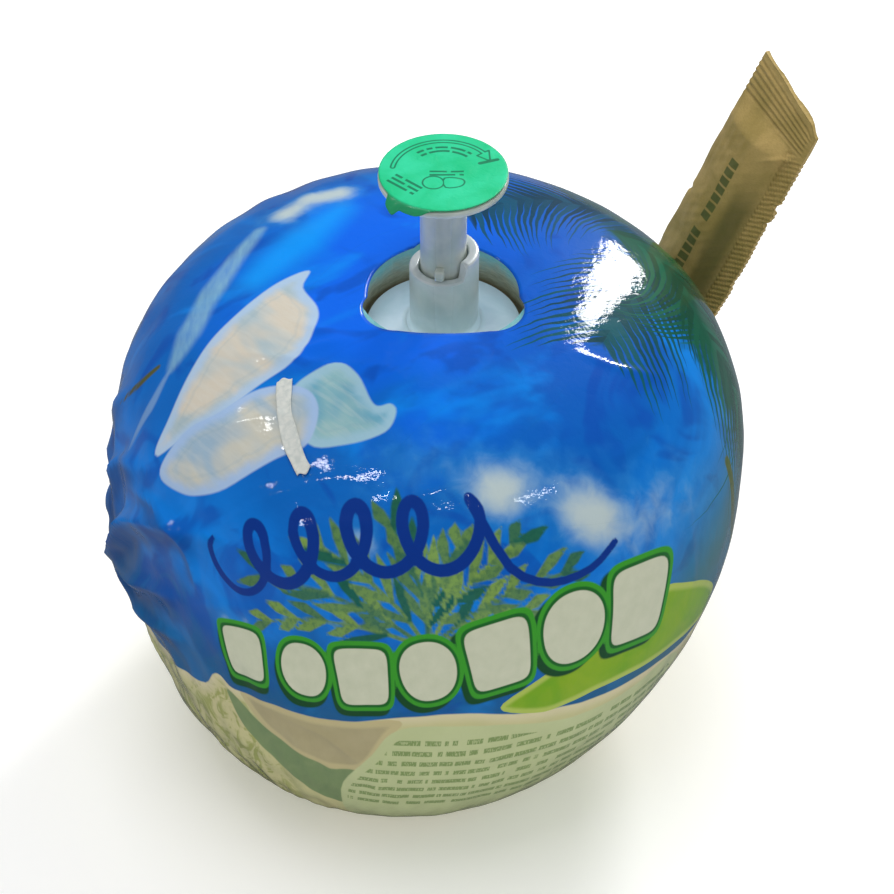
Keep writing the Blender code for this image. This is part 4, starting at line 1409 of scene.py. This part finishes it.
def husk_paint():
    paint = Paint("husk_fibre")
    where = paint.place()
    x, y, z = paint.split(where)
    fibre = paint.noise(paint.join(x * 500.0, y * 500.0, z * 3000.0), 1.0, 5.0, 0.5)
    blotch = paint.noise(where, 220.0, 4.0, 0.8)
    colour = paint.mix(paint.ramp(fibre, 0.3, 0.7), ink(196, 190, 158), ink(166, 158, 126))
    level = z * 1000.0
    # Painted light: the top of the well's wall is tinted teal and made to glow.
    teal_glow = paint.ramp(level + blotch * 4.0, 104.0, 109.0)
    colour = paint.mix(teal_glow * 0.85, colour, ink(86, 168, 178))
    seam = paint.ramp(level + blotch * 2.0, 102.8, 101.4)
    colour = paint.mix(seam * 0.8, colour, ink(132, 112, 72))
    paint.set(Base_Color=colour, Roughness=paint.ramp(blotch, 0.3, 0.7, 0.35, 0.6),
              Specular_IOR_Level=0.45, Emission_Color=colour, Emission_Strength=teal_glow * 0.3)
    paint.bump(fibre + blotch, 0.5, 0.0008)
    return paint


def straw_paint():
    paint = Paint("straw_paper")
    where = paint.place()
    fibre = paint.noise(where, 900.0, 5.0, 0.4)
    bands = paint.node("ShaderNodeTexWave", bands_direction="DIAGONAL")
    paint.put(bands.inputs["Vector"], where)
    bands.inputs["Scale"].default_value = 90.0
    bands.inputs["Distortion"].default_value = 0.2
    colour = paint.mix(paint.ramp(fibre, 0.3, 0.7), ink(222, 218, 204), ink(238, 236, 226))
    colour = paint.mix(paint.ramp(bands.outputs["Fac"], 0.02, 0.0, 0.0, 0.4), colour,
                       ink(190, 184, 166))
    paint.set(Base_Color=colour, Roughness=0.7)
    paint.bump(fibre, 0.3, 0.0003)
    return paint


# --- Studio -------------------------------------------------------------------------------

def soft_light(name, place, target, size, size_y, power, tone=(1, 1, 1)):
    light = bpy.data.lights.new(name, "AREA")
    light.shape = "RECTANGLE"
    light.size = size
    light.size_y = size_y
    light.energy = power
    light.color = tone
    thing = bpy.data.objects.new(name, light)
    bpy.context.scene.collection.objects.link(thing)
    thing.location = place
    thing.rotation_euler = (Vector(target) - Vector(place)).to_track_quat("-Z", "Y").to_euler()
    return thing


FLOOR_SIZE = 4.0
FLOOR_Z = -0.0002
ROOM_LIGHT = 0.5
ROOM_REFLECTED = 0.1
GLINTS = [(-0.25, -0.12, 0.63), (-0.15, -0.17, 0.65), (-0.42, -0.28, 0.48), (-0.36, 0.12, 0.56),
          (0.05, -0.36, 0.62), (0.33, -0.29, 0.56)]


def build_studio():
    world = bpy.data.worlds.new("studio")
    bpy.context.scene.world = world
    world.use_nodes = True
    tree = world.node_tree
    back = tree.nodes["Background"]
    back.inputs["Color"].default_value = (1.0, 1.0, 1.0, 1.0)
    # The room is dimmer in reflections than it is as light, as in a studio with flagged lamps.
    rays = tree.nodes.new("ShaderNodeLightPath")
    dim = tree.nodes.new("ShaderNodeMapRange")
    dim.inputs["To Min"].default_value = ROOM_LIGHT
    dim.inputs["To Max"].default_value = ROOM_REFLECTED
    tree.links.new(rays.outputs["Is Glossy Ray"], dim.inputs["Value"])
    tree.links.new(dim.outputs[0], back.inputs["Strength"])

    bpy.ops.mesh.primitive_plane_add(size=FLOOR_SIZE, location=(0, 0, FLOOR_Z))
    floor = bpy.context.object
    floor.name = "floor"
    paint = Paint("pale_floor")
    where = paint.place()
    colour = paint.mix(paint.noise(where, 6.0, 3.0), (0.93, 0.93, 0.93, 1), (0.96, 0.96, 0.96, 1))
    # The floor too is dimmer in reflections than it looks to the camera.
    reflected = Field(paint, paint.node("ShaderNodeLightPath").outputs["Is Glossy Ray"])
    colour = paint.mix(reflected, colour, ink(110, 116, 124))
    glow = (1.0 - reflected) * 0.2
    paint.set(Base_Color=colour, Roughness=0.8, Specular_IOR_Level=0.2,
              Emission_Color=(1.0, 1.0, 1.0, 1.0), Emission_Strength=glow)
    paint.give(floor)

    soft_light("shoulder_light", (0.262, 0.484, 0.40), (0.04, 0.0, 0.108), 0.07, 0.34, 1.9)
    ceiling = soft_light("ceiling_light", (-0.10, -0.05, 1.6), (0, 0, 0.06), 0.9, 0.7, 9.0)
    ceiling.visible_glossy = False
    # Small lamps that only show as glints on the film's creases.
    for index, place in enumerate(GLINTS):
        lamp = soft_light(f"glint_{index}", place, (0, 0, 0.09), 0.07, 0.025, 0.16)
        lamp.visible_diffuse = False


CAMERA_TILT = math.radians(43.6)
CAMERA_TARGET = Vector((10.66, 0.0, 69.1)) * MM
CAMERA_AWAY = 420 * MM


def build_camera():
    """The photo's view: straight on, and tilted down."""
    camera = bpy.data.cameras.new("camera")
    camera.sensor_width = 36
    camera.lens = 83.8
    camera.clip_start = 0.02
    thing = bpy.data.objects.new("camera", camera)
    bpy.context.scene.collection.objects.link(thing)
    way = Vector((0, -math.cos(CAMERA_TILT), math.sin(CAMERA_TILT)))
    thing.location = CAMERA_TARGET + way * CAMERA_AWAY
    thing.rotation_euler = (math.pi / 2 - CAMERA_TILT, 0, 0)
    bpy.context.scene.camera = thing


# --- Assembly -----------------------------------------------------------------------------

def finish_piece(thing, body, paint):
    paint.give(thing)
    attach(thing, body)


def main():
    film, sheet = build_film()
    print_values(film, sheet)
    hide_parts("film_wrap")
    finish_piece(film, "fruit", film_paint())

    white = plastic_paint("white_plastic", (206, 222, 224), (228, 238, 240))
    # Light that passes through the fruit and the film brightens the flange.
    below = white.split(white.place())[2]
    lit = white.ramp(below, (FLANGE_EDGE + 3) * MM, (FLANGE_EDGE + 1) * MM, 0.0, 0.2)
    white.set(Emission_Color=(0.62, 0.84, 1.0, 1.0), Emission_Strength=lit)
    clear = plastic_paint("clear_plastic", (186, 200, 190), (206, 216, 206))
    finish_piece(build_socket(), "fruit", white)
    finish_piece(build_plunger(), "opener", clear)
    finish_piece(build_lug(), "opener", clear)
    finish_piece(build_label(), "opener", label_paint())
    finish_piece(build_sachet(), "fruit", kraft_paint())
    finish_piece(build_tape(), "fruit", tape_paint())

    husk_paint().give(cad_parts["coconut"])
    straw_paint().give(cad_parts["straw"])
    build_studio()
    build_camera()
    bpy.context.scene.view_settings.view_transform = "Standard"


main()
